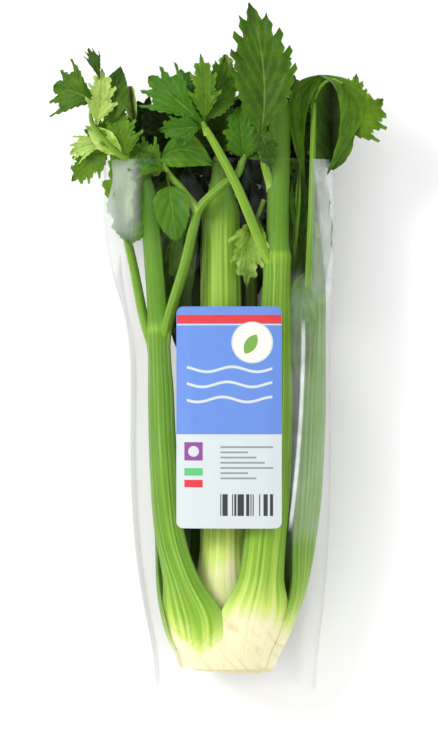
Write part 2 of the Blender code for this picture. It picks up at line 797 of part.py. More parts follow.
def main():
    clear_scene()
    materials = {name: make_material(name) for name in COLOURS}
    build_butt(materials)
    for stalk in STALKS:
        build_stalk(stalk, materials)
    for spray in SPRAYS:
        build_spray(spray, materials)
    build_sleeve(materials)
    build_label(materials)
    for obj in bpy.context.scene.objects:
        shade(obj)


main()
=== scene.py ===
"""A head of celery in an open clear film sleeve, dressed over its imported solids.

Lengths are millimetres until a piece is finished, and the head lies along Y with its butt at -Y.
"""

import math
import random

import bmesh
import bpy
from bpy.props import FloatProperty, FloatVectorProperty, IntProperty, PointerProperty
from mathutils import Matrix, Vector, noise


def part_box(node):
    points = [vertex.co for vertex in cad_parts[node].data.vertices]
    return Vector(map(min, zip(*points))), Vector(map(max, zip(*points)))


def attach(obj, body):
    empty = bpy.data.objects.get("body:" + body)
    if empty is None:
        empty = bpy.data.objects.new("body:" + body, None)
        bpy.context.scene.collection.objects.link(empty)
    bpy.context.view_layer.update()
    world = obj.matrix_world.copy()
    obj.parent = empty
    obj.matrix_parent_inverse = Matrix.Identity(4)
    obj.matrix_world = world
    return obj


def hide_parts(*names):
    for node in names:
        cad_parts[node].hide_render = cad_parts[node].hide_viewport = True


bl_info = {
    "name": "Sleeved Celery",
    "version": (1, 0, 0),
    "blender": (4, 5, 0),
    "location": "View3D > Sidebar > Celery",
    "description": "Builds a head of celery in a clear film sleeve with a label",
    "category": "Add Mesh",
}

MM = 0.001
HEAD_CENTRE_X = 2.0
HEAD_CENTRE_Z = 36.6
CUT_CENTRE_X = -2.9
CUT_RINGS = 1.05             # turns of the cut face's faint rings, in radians for each millimetre

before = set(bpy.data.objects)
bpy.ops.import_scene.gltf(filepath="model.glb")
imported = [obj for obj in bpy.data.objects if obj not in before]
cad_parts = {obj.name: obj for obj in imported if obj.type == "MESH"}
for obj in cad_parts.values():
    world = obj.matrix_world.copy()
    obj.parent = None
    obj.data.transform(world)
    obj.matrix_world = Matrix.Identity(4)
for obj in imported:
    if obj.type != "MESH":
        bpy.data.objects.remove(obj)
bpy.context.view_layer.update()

SLEEVE_LOW, SLEEVE_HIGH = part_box("sleeve")
LABEL_LOW, LABEL_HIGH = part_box("label")
BUTT_LOW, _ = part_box("butt")
CUT_Y = BUTT_LOW.y / MM
FILM_LOW_Y, FILM_HIGH_Y = SLEEVE_LOW.y / MM, SLEEVE_HIGH.y / MM


def linear(red, green, blue):
    """A colour as a screen shows it, 0 to 255, as the linear colour that Blender keeps."""
    values = []
    for channel in (red, green, blue):
        share = channel / 255
        values.append(share / 12.92 if share <= 0.04045 else ((share + 0.055) / 1.055) ** 2.4)
    return tuple(values)


# Materials

def math_node(operation, turned=False):
    """A method that adds a Math node to a number and another, the other first where turned."""
    def method(self, other=0.0):
        pair = (other, self) if turned else (self, other)
        return self.finish.maths(operation, *pair)
    return method


class Number:
    """A number in a material. Maths on it adds Math nodes."""

    def __init__(self, finish, socket):
        self.finish = finish
        self.socket = socket

    __add__ = __radd__ = math_node("ADD")
    __sub__ = math_node("SUBTRACT")
    __rsub__ = math_node("SUBTRACT", turned=True)
    __mul__ = __rmul__ = math_node("MULTIPLY")
    __truediv__ = math_node("DIVIDE")
    __pow__ = math_node("POWER")
    size = math_node("ABSOLUTE")
    cosine = math_node("COSINE")
    floor = math_node("FLOOR")
    above = math_node("GREATER_THAN")
    most = math_node("MAXIMUM")

    def rise(self, low, high):
        """From 0 at low to 1 at high, smoothly."""
        limits = {"Value": self, "From Min": low, "From Max": high}
        node = self.finish.node("ShaderNodeMapRange", {"interpolation_type": "SMOOTHSTEP"}, limits)
        return Number(self.finish, node.outputs["Result"])

    def fall(self, low, high):
        """From 1 at low to 0 at high, smoothly."""
        return 1.0 - self.rise(low, high)

    def within(self, low, high, soft):
        """1 between low and high and 0 outside, over a soft edge."""
        return self.rise(low - soft, low + soft) - self.rise(high - soft, high + soft)


class Finish:
    """A material: one method adds any node, and the rest name what is added often."""

    def __init__(self, name, roughness=0.5, specular=0.5):
        self.material = bpy.data.materials.new(name)
        self.material.use_nodes = True
        self.tree = self.material.node_tree
        self.shader = self.tree.nodes["Principled BSDF"]
        self.output = self.tree.nodes["Material Output"]
        self.rough(roughness)
        self.set(self.shader, "Specular IOR Level", specular)

    def set(self, node, socket, value):
        target = node.inputs[socket]
        if isinstance(value, Number):
            value = value.socket
        if isinstance(value, bpy.types.NodeSocket):
            self.tree.links.new(value, target)
        elif target.type == "RGBA":
            target.default_value = (*value[:3], 1.0)
        else:
            target.default_value = value

    def node(self, kind, settings=(), sockets=()):
        """Adds a node, sets it up, then gives its sockets their values or links."""
        node = self.tree.nodes.new(kind)
        for name, value in dict(settings).items():
            setattr(node, name, value)
        for name, value in dict(sockets).items():
            self.set(node, name, value)
        return node

    def maths(self, operation, first, second):
        node = self.node("ShaderNodeMath", {"operation": operation}, {0: first, 1: second})
        return Number(self, node.outputs[0])

    def mix(self, share, first, second, blend="MIX"):
        settings = {"data_type": "RGBA", "blend_type": blend}
        return self.node("ShaderNodeMix", settings, {0: share, 6: first, 7: second}).outputs[2]

    def ramp(self, value, stops):
        """A colour that follows value through stops of (place, colour)."""
        node = self.node("ShaderNodeValToRGB", {}, {0: value})
        elements = node.color_ramp.elements
        while len(elements) < len(stops):
            elements.new(0.5)
        for element, (place, colour) in zip(elements, stops):
            element.position = place
            element.color = (*colour[:3], 1.0)
        return node.outputs[0]

    def place(self):
        """The point in the object's own space, in millimetres, as a vector and as numbers."""
        point = self.node("ShaderNodeTexCoord").outputs["Object"]
        settings = {"operation": "SCALE"}
        scaled = self.node("ShaderNodeVectorMath", settings, {0: point, "Scale": 1 / MM}).outputs[0]
        return scaled, *self.split(scaled)

    def split(self, vector):
        node = self.node("ShaderNodeSeparateXYZ", {}, {0: vector})
        return tuple(Number(self, output) for output in node.outputs)

    def join(self, x, y, z=0.0):
        return self.node("ShaderNodeCombineXYZ", {}, {0: x, 1: y, 2: z}).outputs[0]

    def surface(self):
        """The piece's own map: across and along its surface."""
        node = self.node("ShaderNodeUVMap", {"uv_map": "surface"})
        return self.split(node.outputs[0])[:2]

    def attribute(self, name):
        return Number(self, self.node("ShaderNodeAttribute", {"attribute_name": name}).outputs["Fac"])

    def grain(self, vector, scale, detail=3.0, roughness=0.5, stretch=0.0):
        """Soft noise, 0 to 1."""
        sockets = {
            "Vector": vector, "Scale": scale, "Detail": detail,
            "Roughness": roughness, "Distortion": stretch,
        }
        return Number(self, self.node("ShaderNodeTexNoise", {}, sockets).outputs[0])

    def bump(self, height, distance, strength=1.0):
        """Lets height, in millimetres over distance, turn the surface's normal."""
        sockets = {"Height": height, "Distance": distance * MM, "Strength": strength}
        self.set(self.shader, "Normal", self.node("ShaderNodeBump", {}, sockets).outputs[0])

    def colour(self, value):
        self.set(self.shader, "Base Color", value)

    def rough(self, value):
        self.set(self.shader, "Roughness", value)

    def soften(self, share, reach):
        """Lets some light through the surface, over a reach in millimetres."""
        self.set(self.shader, "Subsurface Weight", share)
        self.set(self.shader, "Subsurface Scale", reach * MM)


def stalk_finish(settings):
    """Waxy skin: cream at the butt, green above, with strings that run along it, painted shade in its
    furrows and at its edges, and painted shade on stalks deep in the head.
    """
    finish = Finish("stalk_skin", settings.gloss, 0.22)
    point, x, y, z = finish.place()
    across, along = finish.surface()
    paleness = finish.attribute("paleness")
    crest = finish.attribute("crest")
    broad = finish.grain(finish.join(across * 11.0, along * 1.1), 1.0, 3.0, 0.55)
    streaks = finish.grain(finish.join(across * 34.0, along * 2.0), 1.0, 3.0, 0.6)
    blotch = finish.grain(point, 0.03, 3.0)
    fingers = paleness.within(0.34, 0.90, 0.16) * 0.5 + 0.16
    tone = paleness + (broad - 0.5) * fingers + (streaks - 0.5) * 0.24 + (blotch - 0.5) * 0.18
    green = finish.ramp(tone, (
        (0.0, settings.deep), (0.28, settings.green), (0.48, settings.light),
        (0.68, settings.pale), (0.92, settings.cream),
    ))
    # Painted shade: the furrows between the ribs and the stalk's two edges are multiplied darker.
    side = ((across / settings.outer_share) * 2.0 - 1.0).size()
    shade_in_furrows_and_edges = (1.0 - crest) * broad.rise(0.24, 0.54) * 1.2 + side.rise(0.55, 1.0) * 0.5
    furrow_shade = shade_in_furrows_and_edges * (1.0 - paleness.rise(0.4, 0.9) * 0.75) * 0.75
    shaded = finish.mix(furrow_shade, green, settings.furrow_shade, "MULTIPLY")
    string = crest.rise(0.6, 1.0) * streaks.rise(0.48, 0.66) * 0.28
    stringy = finish.mix(string, shaded, settings.string)
    slanted = finish.grain(finish.join((x + y) * 0.06, (x - y) * 0.34, z * 0.05), 1.0, 4.0, 0.6)
    crossed = finish.grain(finish.join((x - y) * 0.035, (x + y) * 0.17, z * 0.05), 1.0, 4.0, 0.66, 0.4)
    foot = y.fall(-152.0, -134.0) * paleness.rise(0.45, 0.85)
    creamy = finish.mix(slanted.rise(0.44, 0.70) * foot * 0.5, stringy, settings.cream)
    creased = finish.mix(crossed.rise(0.48, 0.74) * foot * 0.55, creamy, settings.butt_scar)
    # Painted shade: the shade attribute darkens stalks deep in the head towards the depth colour.
    finish.colour(finish.mix(finish.attribute("shade"), creased, settings.depth, "MULTIPLY"))
    finish.rough((streaks - 0.5) * 0.25 + settings.gloss)
    finish.bump(streaks * 0.5 + broad * 0.4 + finish.grain(point, 1.4, 2.0) * 0.12, 0.5)
    finish.soften(0.08, 3.0)
    return finish.material


def leaf_finish(settings):
    """Leaf blade: darker between sunken veins that are paler, and painted shade that darkens it deep in
    the head, low in the crown and in cupped hollows.
    """
    finish = Finish("leaf_blade", settings.gloss, 0.12)
    point, _, _, _ = finish.place()
    across, along = finish.surface()
    tone = finish.attribute("tone")
    side = (across * 2.0 - 1.0).size()
    midrib = side.fall(0.015, 0.06)
    wander = finish.grain(finish.join(across * 3.0, along * 6.0), 1.0, 2.0) - 0.5
    slant = along + wander * 0.07 - side * settings.slant
    swing = (slant * (2 * math.pi * settings.veins)).cosine()
    side_vein = swing.rise(0.93, 1.0) * side.fall(0.35, 0.95) * 0.5
    vein = midrib.most(side_vein)
    mottle = finish.grain(point, 0.10, 5.0, 0.68)
    blade = finish.ramp(tone + (mottle - 0.5) * 0.8, (
        (0.0, settings.dark), (0.4, settings.green), (0.75, settings.fresh), (1.0, settings.pale),
    ))
    cooled = finish.mix(finish.attribute("cool") * 0.65, blade, settings.cool)
    pleat = finish.mix((1.0 - swing) * 0.22, cooled, settings.pleat, "MULTIPLY")
    lit = finish.mix(vein * 0.34, pleat, settings.vein)
    # Painted shade: the shade attribute darkens the blade towards the depth colour.
    finish.colour(finish.mix(finish.attribute("shade"), lit, settings.depth, "MULTIPLY"))
    finish.rough((mottle - 0.5) * 0.4 + settings.gloss)
    finish.bump(vein * -0.8 + mottle * 0.7, 0.45)
    return finish.material


def butt_finish(settings):
    """Cut root end: cream with tan scars and a slightly torn grain."""
    finish = Finish("cut_butt", 0.62, 0.3)
    point, x, y, z = finish.place()
    scars = finish.grain(point, 0.11, 5.0, 0.62, 1.2)
    radius = ((x - CUT_CENTRE_X) ** 2.0 + (z - HEAD_CENTRE_Z) ** 2.0) ** 0.5
    on_cut = y.fall(CUT_Y + 2.0, CUT_Y + 4.0)
    rings = (radius * CUT_RINGS + scars * 7.0).cosine().rise(0.1, 1.0) * on_cut
    fibres = finish.grain(finish.join(x * 0.9, y * 0.12), 1.0, 4.0, 0.6)
    base = finish.ramp(scars, (
        (0.30, settings.butt_scar), (0.40, settings.butt), (0.52, settings.cream), (0.80, settings.pale),
    ))
    edge = y.fall(CUT_Y, CUT_Y + 3.0)
    worn = finish.mix(edge * (scars * 0.5 + 0.1) + rings * 0.3, base, settings.butt_scar)
    finish.colour(finish.mix(fibres * 0.25, worn, settings.cream))
    finish.bump(scars * 1.4 + fibres * 0.7, 0.9)
    finish.soften(0.15, 4.0)
    return finish.material


# Painted sheen: where the film lies on the stalks at the right it is painted whitish, in place of its
# reflections of the lamps: (X where this begins and is full, how that X moves back along Y, its ends along
# Y and their blend, Z where it begins and is full, how much of it is cloudy, how much is even).
FILM_PAINTED_SHEENS = (
    ((33.0, 38.0), 0.0, (-98.0, 56.0, 10.0), (30.0, 44.0), 0.14, 0.0),
    ((46.0, 50.0), 0.0, (48.0, 128.0, 8.0), (24.0, 36.0), 0.22, 0.01),
    ((60.2, 62.6), 0.096, (20.0, 134.0, 12.0), (24.0, 36.0), 0.30, 0.04),
)


def film_finish(settings):
    """Clear film: see-through and glossy, with painted sheen, whitish, where it is creased, folded or
    pressed on leaves, and a painted highlight along one pressed fold.
    """
    finish = Finish("clear_film", 0.32, 0.5)
    point, x, y, z = finish.place()
    # Painted sheen where the film is creased, at its cut ends and on the tops of its ridges.
    crease_sheen = finish.attribute("crease_sheen")
    cloud = finish.grain(point, 0.035, 4.0, 0.6, 0.8)
    crinkle = finish.grain(finish.join(x * 0.22, y * 0.05, z * 0.22), 1.0, 5.0, 0.62, 1.5)
    bend = x - settings.fold_highlight_x + (settings.fold_highlight_top - y) ** 2.0 * settings.fold_highlight_bend
    # Painted highlight: a white line along one pressed fold, in place of the film's reflection of the
    # lamps.
    fold_highlight = bend.within(-1.1, 1.1, 0.5) * y.within(-88.0, 30.0, 6.0) * z.rise(40.0, 52.0)
    # Painted sheen along the crinkles' folds.
    folds = crinkle.within(0.53, 0.56, 0.022) * cloud.rise(0.46, 0.62)
    # Painted sheen over the leaves at the left, in place of the film's reflections of the lamps.
    left_painted_sheen = x.within(-80.0, -58.0, 5.0) * y.within(86.0, 128.0, 9.0)
    milky_and_sheen = left_painted_sheen * (cloud * 0.30 + 0.05)
    for edge, drift, ends, heights, cloudy, even in FILM_PAINTED_SHEENS:
        right_painted_sheen = (x + y * drift).rise(*edge) * y.within(*ends) * z.rise(*heights)
        milky_and_sheen = milky_and_sheen + right_painted_sheen * (cloud * cloudy + even)
    # The painted sheen and highlights, added to the film's own even hazing from the settings.
    haze_and_sheen = milky_and_sheen + fold_highlight * (cloud * 0.9) + folds * 0.010 + crease_sheen * 0.04 + settings.haze_and_sheen
    finish.colour(settings.tint)
    finish.bump(crinkle * 2.0 + cloud * 2.0, 1.0, 0.6)
    rim = finish.node("ShaderNodeLayerWeight", {}, {"Blend": 0.12}).outputs["Facing"]
    clear = finish.node("ShaderNodeBsdfTransparent")
    gloss = finish.node("ShaderNodeBsdfGlossy", {}, {"Roughness": 0.12})
    shine = Number(finish, rim) ** 2.0 * 0.7 + (1.0 - y.rise(100.0, 130.0) * 0.9) * 0.0015
    thin = finish.node("ShaderNodeMixShader", {}, {0: shine, 1: clear.outputs[0], 2: gloss.outputs[0]})
    film = finish.node(
        "ShaderNodeMixShader", {}, {0: haze_and_sheen, 1: thin.outputs[0], 2: finish.shader.outputs[0]}
    )
    finish.set(finish.output, "Surface", film.outputs[0])
    return finish.material


# The label's design: blocks (left, right, low, high, colour) and discs (X, Y, radius, colour), in
# the order in which they are printed.
PRINT_EDGE = 0.12            # half the softness of a printed edge
LABEL_BLOCKS = (
    (-33.0, 29.5, 31.5, 36.5, "red"), (-33.0, 29.5, 30.3, 31.0, "white"),
    (-28.5, -17.5, -50.5, -39.5, "purple"), (-28.5, -17.5, -59.5, -55.0, "green"),
    (-28.5, -17.5, -66.5, -62.0, "red"),
)
LABEL_DISCS = ((12.0, 20.0, 12.4, "white"), (12.0, 20.0, 11.4, "cream"), (-23.0, -45.0, 3.2, "white"))
LABEL_LEAF = ((7.2, 21.4, 8.2), (15.0, 16.6, 8.2))    # the leaf is where these two discs overlap
WAVES = 3
THIN_BARS = 7


def label_finish(settings):
    """Coated paper, printed with plain blocks, waves, a disc with a leaf and bars of no meaning."""
    finish = Finish("label_print", 0.38, 0.25)
    point, x, y, _ = finish.place()

    def block(left, right, low, high):
        return x.within(left, right, PRINT_EDGE) * y.within(low, high, PRINT_EDGE)

    def disc(centre_x, centre_y, radius):
        distance = ((x - centre_x) ** 2.0 + (y - centre_y) ** 2.0) ** 0.5
        return distance.fall(radius - PRINT_EDGE, radius + PRINT_EDGE)

    layers = []
    for row in range(WAVES):
        wave = y - (4.0 - 9.0 * row) - (x * 0.21 + 0.6 * row).cosine() * 1.5
        line = wave.within(-0.8, 0.8, PRINT_EDGE) * block(-27.0, 24.0, -25.0, 8.0)
        layers.append((line, "white"))
    layers += [(block(*sides), colour) for *sides, colour in LABEL_BLOCKS]
    layers += [(disc(*place), colour) for *place, colour in LABEL_DISCS]
    layers.append((disc(*LABEL_LEAF[0]) * disc(*LABEL_LEAF[1]), "leaf"))
    for row in range(THIN_BARS):
        low = -43.0 - 3.1 * row
        layers.append((block(-7.0, 24.5 - 5.0 * ((row * 3) % 4), low, low + 1.1), "grey"))
    bar = finish.node("ShaderNodeTexWhiteNoise", {"noise_dimensions": "1D"}, {"W": (x * 1.55).floor()})
    layers.append((Number(finish, bar.outputs[0]).above(0.46) * block(-7.0, 24.5, -83.5, -70.5), "ink"))

    blue = y.rise(settings.split_y - PRINT_EDGE, settings.split_y + PRINT_EDGE)
    design = finish.mix(blue, settings.white, settings.blue)
    for mask, colour in layers:
        design = finish.mix(mask, design, getattr(settings, colour))
    paper = finish.grain(point, 0.9, 4.0, 0.6)
    finish.colour(finish.mix(paper * 0.06, design, (0.6, 0.6, 0.6)))
    finish.rough(0.34 + paper * 0.12)
    finish.bump(paper * 0.3 + finish.grain(point, 0.05, 2.0) * 2.0, 0.3)
    return finish.material


# Shapes

SHARP_ANGLE = math.radians(62.0)


def share_of(value):
    """The value kept between 0 and 1."""
    return min(1.0, max(0.0, value))


def step_up(value, place, softness):
    """From 0 well below place to 1 well above it."""
    return 1 / (1 + math.exp((place - value) / softness))


def between(rows, place):
    """A row of values at `place`, read from rows sorted by their first value, on a smooth curve."""
    if place <= rows[0][0]:
        return rows[0][1:]
    for k in range(len(rows) - 1):
        if place <= rows[k + 1][0]:
            break
    else:
        return rows[-1][1:]
    before, start, end = rows[max(k - 1, 0)], rows[k], rows[k + 1]
    after = rows[min(k + 2, len(rows) - 1)]
    step = end[0] - start[0]
    t = (place - start[0]) / step
    values = []
    for i in range(1, len(start)):
        slope_in = (end[i] - before[i]) / (end[0] - before[0]) * step
        slope_out = (after[i] - start[i]) / (after[0] - start[0]) * step
        values.append(
            (2 * t**3 - 3 * t**2 + 1) * start[i]
            + (t**3 - 2 * t**2 + t) * slope_in
            + (3 * t**2 - 2 * t**3) * end[i]
            + (t**3 - t**2) * slope_out
        )
    return tuple(values)


def spread(start, end, step):
    """Places from start to end, about step apart."""
    count = max(1, round((end - start) / step))
    return [start + (end - start) * k / count for k in range(count + 1)]


def grid(columns, rows, notes):
    """A unit grid with a map of itself, and a layer of numbers for each name in notes."""
    bm = bmesh.new()
    surface = bm.loops.layers.uv.new("surface")
    layers = [bm.verts.layers.float.new(name) for name in notes]
    bmesh.ops.create_grid(bm, x_segments=columns, y_segments=rows, size=0.5)
    for face in bm.faces:
        for loop in face.loops:
            loop[surface].uv = (loop.vert.co.x + 0.5, loop.vert.co.y + 0.5)
    return bm, layers


def tube(rings, notes):
    """An open tube over rings of points. notes: attribute name to rings of numbers."""
    around, along = len(rings[0]), len(rings) - 1
    bm, layers = grid(around, along, notes)
    seam = []
    for vert in bm.verts:
        column = round((vert.co.x + 0.5) * around)
        row = round((vert.co.y + 0.5) * along)
        if column in (0, around):
            seam.append(vert)
        vert.co = rings[row][column % around]
        for layer, values in zip(layers, notes.values()):
            vert[layer] = values[row][column % around]
    bmesh.ops.remove_doubles(bm, verts=seam, dist=1e-5)
    return bm


def skin(rings, notes):
    """A tube that is closed at both ends."""
    bm = tube(rings, notes)
    bmesh.ops.edgeloop_fill(bm, edges=[edge for edge in bm.edges if edge.is_boundary])
    return face_outwards(bm)


def face_outwards(bm):
    bmesh.ops.recalc_face_normals(bm, faces=bm.faces)
    return bm


def thicken(bm, wall):
    """Gives an open shape its thickness, inwards where wall is above 0."""
    bmesh.ops.solidify(bm, geom=bm.faces[:], thickness=wall)
    return face_outwards(bm)


def mesh_from(name, bm):
    """A mesh from a bmesh, which is used up."""
    mesh = bpy.data.meshes.new(name)
    bm.to_mesh(mesh)
    bm.free()
    return mesh


def gather(parts):
    """One bmesh from several, which are used up."""
    whole = bmesh.new()
    for bm in parts:
        mesh = mesh_from("part", bm)
        whole.from_mesh(mesh)
        bpy.data.meshes.remove(mesh)
    return whole


def put(name, data):
    """A new object in the scene."""
    thing = bpy.data.objects.new(name, data)
    bpy.context.scene.collection.objects.link(thing)
    return thing


def add_piece(name, bm, material, nodes):
    """Finishes a piece drawn in millimetres: it rides on the root, and the CAD parts of its nodes are
    hidden.
    """
    bmesh.ops.scale(bm, vec=(MM, MM, MM), verts=bm.verts)
    mesh = mesh_from(name, bm)
    mesh.materials.append(material)
    mesh.shade_smooth()
    mesh.set_sharp_from_angle(angle=SHARP_ANGLE)
    piece = put(name, mesh)
    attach(piece, "root")
    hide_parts(*nodes)


# The head: stalks packed in rings round its axis

# The head's outline at stations along Y: (y, centre x, half width, half height).
HEAD_STATIONS = (
    (-178.0, -2.9, 28.5, 26.5),
    (-168.0, -2.6, 32.0, 29.5),
    (-158.0, -2.4, 37.0, 31.5),
    (-146.0, -1.8, 41.0, 32.5),
    (-130.0, -0.5, 45.0, 33.5),
    (-105.0, 1.0, 48.0, 34.0),
    (-70.0, 2.0, 51.0, 34.0),
    (-10.0, 2.5, 53.0, 34.0),
    (180.0, 2.0, 53.0, 33.0),
)
BASE_Y = -166.0
RING_END_Y = -144.0          # up to here the stalks stay packed in their rings
WAIST_Y = -90.0
MOST_DEPTH = 0.82            # of a stalk's wall, as a share of its outer side's radius
EDGE_DEPTH = 0.32            # of the wall at the stalk's edges, as a share of its middle
EDGE_POWER = 2.4             # how suddenly the wall thins towards the edges
INNER_WRAP = 0.97            # how far round the inner side goes, as a share of the outer side
POINTS_PER_RIB = 6
INNER_POINTS = 20
SHALLOWEST = 0.15            # of the furrows between ribs, as a share of a full one
RIBS_START_Y = -172.0
RIBS_GROW = 40.0             # length over which the ribs come up from the foot
JOINT_BLEND = 2.5            # how softly a stalk changes at its joint, along Y
KNOT_LENGTH = 2.2
SHEATH_OVERLAP = 1.14        # how much wider the stalks' bases are than their share of the ring
SHEATH_END_Y = -176.5        # where the outermost sheaths end on the butt

# How pale a stalk is along Y, from 1 at the cream butt to 0 at the greenest. A stalk's lean is the X
# where the green ends highest, and how much lower it ends for each millimetre away from there.
LEAN = (8.0, 0.36)
PALE_MOST = 22.0             # how much lower the green ends at a stalk's far side, at most
FOOT_GREEN_Y = -154.0        # below this no stalk is green
FOOT_BLEND = 15.0
PALENESS = (
    (-170.0, 1.0), (-156.0, 0.93), (-146.0, 0.76), (-134.0, 0.56), (-115.0, 0.43),
    (-85.0, 0.34), (-30.0, 0.29), (60.0, 0.27), (110.0, 0.22), (150.0, 0.14),
)


def head_at(y):
    return between(HEAD_STATIONS, y)


def crest_point(y, ring, angle):
    """Where a stalk's outer crest passes: ring is its share of the head's radius."""
    centre_x, half_width, half_height = head_at(y)
    x = centre_x + ring * half_width * math.cos(angle)
    return x, HEAD_CENTRE_Z + ring * half_height * math.sin(angle)


def crest_facing(y, angle):
    _, half_width, half_height = head_at(y)
    return math.atan2(math.sin(angle) / half_height, math.cos(angle) / half_width)


def arc_speed(y, ring, angle):
    _, half_width, half_height = head_at(y)
    return ring * math.hypot(half_width * math.sin(angle), half_height * math.cos(angle))


# What a kind of stalk has in common. sector is half its share of its ring at the base, base_ring and
# ring are how far out it stands there and above, as shares of the head's radius, rib is the height of
# its ribs, fade moves its green along Y, tone makes it paler, shade darkens it as painted shade, knot
# scales the swelling at its joint, and palest limits how pale it gets.
OUTER = {
    "sector": math.radians(30.0 - 1.3), "base_ring": 1.0, "ring": 1.0, "thickness": 9.2,
    "ribs": 10, "rib": 0.75, "knot": 1.0, "slot": "stalk", "branches": (),
    "fade": 0.0, "tone": 0.0, "shade": 0.0, "lean": LEAN, "palest": 1.0,
}
# The inner stalks' tone of -0.1 and shade of 0.7 are painted shade, a darker green deep in the head.
INNER = {
    **OUTER, "sector": math.radians(60.0 - 3.0), "base_ring": 0.725, "ring": 0.56, "thickness": 7.6,
    "rib": 0.45, "knot": 0.2, "slot": "heart_stalk", "fade": 10.0, "tone": -0.1, "shade": 0.7,
}
HEART = {
    **INNER, "sector": math.radians(60.0 - 8.0), "base_ring": 0.46, "ring": 0.27, "thickness": 4.6,
    "ribs": 5, "rib": 0.3, "fade": 25.0, "tone": 0.2, "shade": 0.75,
}
HEART_WIDTHS = (11.5, 9.5, 5.0)
HEART_TOP = 34.0             # from a heart stalk's joint to its end


def plan_stalk(kind, name, angles, widths, joint_y, end_y, **changes):
    """A stalk's measures: its own, with those of its kind where they don't change."""
    own = {
        "name": name, "angles": [math.radians(angle) for angle in angles],
        "widths": widths, "joint_y": joint_y, "end_y": end_y,
    }
    measures = {**kind, **own, **changes}
    return {"top_ring": measures["ring"], **measures}


def plan_heart(name, angles, end_y, **changes):
    return plan_stalk(HEART, name, angles, HEART_WIDTHS, end_y - HEART_TOP, end_y, **changes)


# Each stalk's angles round the head in degrees at its base, waist and top, its widths at the waist,
# the joint and the top, and where its joint and its end are along Y. Each branch: (points from its
# root in the stalk to its end, root radius, end radius).
STALKS = (
    plan_stalk(
        OUTER, "stalk_front_left", (126, 147, 160), (26.0, 21.0, 14.0), 29.0, 124.0,
        ring=1.06, top_ring=1.17, fade=-20.0, tone=-0.03, lean=(-19.0, -0.7),
        branches=(
            ((
                (-42, 16, 50), (-37, 38, 57), (-28, 68, 61.5), (-23.2, 89, 62.5),
                (-19, 101.5, 62.5), (-6, 114, 62.5), (3, 121, 62.5), (6, 128.5, 62.5),
            ), 3.6, 2.2),
            (((-20.5, 99, 62.3), (-30, 112, 62), (-36, 119, 62)), 2.4, 1.8),
            ((
                (-47, 16, 43), (-53.5, 36, 42), (-59.5, 66, 40),
                (-65, 90, 39), (-70, 113, 39.5), (-71.5, 130, 41),
            ), 3.4, 2.0),
        ),
    ),
    plan_stalk(
        OUTER, "stalk_front_right", (66, 65, 57), (27.0, 17.5, 13.0), 72.0, 166.0, fade=6.0, tone=0.06,
        branches=(
            (((23, 66, 61), (18, 77, 65), (3, 113, 69.3), (-8.5, 135, 71), (-16, 148, 72)), 3.6, 2.2),
            (((24, 112, 60), (20, 124, 67), (17.5, 137, 73)), 2.6, 2.1),
        ),
    ),
    plan_stalk(
        OUTER, "stalk_right", (6, 24, 16), (27.0, 19.0, 10.0), 46.0, 135.0, ring=1.06, fade=4.0,
        branches=(
            ((
                (49, 28, 46), (46.6, 43, 52), (46, 60, 57.5),
                (47.4, 98, 61.5), (48.6, 146, 64), (49, 165, 62.5),
            ), 2.6, 1.5),
        ),
    ),
    plan_stalk(OUTER, "stalk_back_right", (-54, -52, -52), (27.0, 18.5, 10.0), 60.0, 128.0, shade=0.35),
    plan_stalk(OUTER, "stalk_back_left", (-114, -119, -117), (27.0, 18.5, 10.0), 44.0, 122.0, shade=0.35),
    plan_stalk(OUTER, "stalk_left", (-174, -161, -163), (25.0, 17.0, 10.0), 12.0, 104.0, shade=0.2),
    plan_stalk(
        INNER, "stalk_inner_front", (104, 107, 110), (28.0, 23.0, 11.0), 92.0, 132.0,
        ring=0.585, fade=30.0, tone=0.16, shade=0.0, palest=0.66,
    ),
    plan_stalk(INNER, "stalk_inner_right", (-16, -14, -12), (19.0, 14.0, 8.0), 84.0, 120.0),
    plan_stalk(INNER, "stalk_inner_left", (-136, -146, -146), (19.0, 14.0, 8.0), 78.0, 116.0),
    plan_heart("heart_stalk_1", (44, 40, 40), 112.0),
    plan_heart("heart_stalk_2", (164, 154, 152), 104.0, ring=0.43, shade=0.15),
    plan_heart("heart_stalk_3", (-76, -76, -76), 98.0),
)


def stalk_shape(stalk):
    """Rows (y, width, thickness, half wrap in degrees) from the butt to the stalk's end."""
    base_angle, base_ring = stalk["angles"][0], stalk["base_ring"]
    base_width = 2 * arc_speed(BASE_Y, base_ring, base_angle) * math.sin(stalk["sector"])
    ring_width = 2 * arc_speed(RING_END_Y, base_ring, base_angle) * math.sin(stalk["sector"])
    sector = math.degrees(stalk["sector"])
    width, joint_width, end_width = stalk["widths"]
    joint, end = stalk["joint_y"], stalk["end_y"]
    thick = stalk["thickness"]
    return (
        (SHEATH_END_Y, base_width * 0.88 * SHEATH_OVERLAP, thick * 0.7, sector),
        (BASE_Y, base_width * SHEATH_OVERLAP, thick * 0.80, sector),
        (RING_END_Y, ring_width * SHEATH_OVERLAP, thick * 0.84, sector),
        (-120.0, 0.16 * ring_width + 0.84 * width, thick * 0.93, sector + 9),
        (-70.0, width, thick, 50.0),
        (-15.0, width * 0.93, thick, 56.0),
        (joint - 12.0, joint_width, thick * 0.93, 62.0),
        (joint, joint_width * (1 + 0.06 * stalk["knot"]), thick * 0.96, 66.0),
        (joint + 8.0, joint_width * (1 - 0.16 * stalk["knot"]), thick * 0.86, 74.0),
        (end - 14.0, end_width * 1.04, min(thick * 0.7, end_width * 0.62), 80.0),
        (end, end_width * 0.62, min(thick * 0.6, end_width * 0.45), 84.0),
    )


def stalk_angle(stalk, y):
    base, middle, top = stalk["angles"]
    return between(((BASE_Y, base), (RING_END_Y, base), (WAIST_Y, middle), (stalk["end_y"], top)), y)[0]


def stalk_reach(stalk, y):
    base, ring, top = stalk["base_ring"], stalk["ring"], stalk["top_ring"]
    joint = stalk["joint_y"]
    rows = ((BASE_Y, base), (RING_END_Y, base), (-80.0, ring), (joint, ring), (stalk["end_y"], top))
    return between(rows, y)[0]


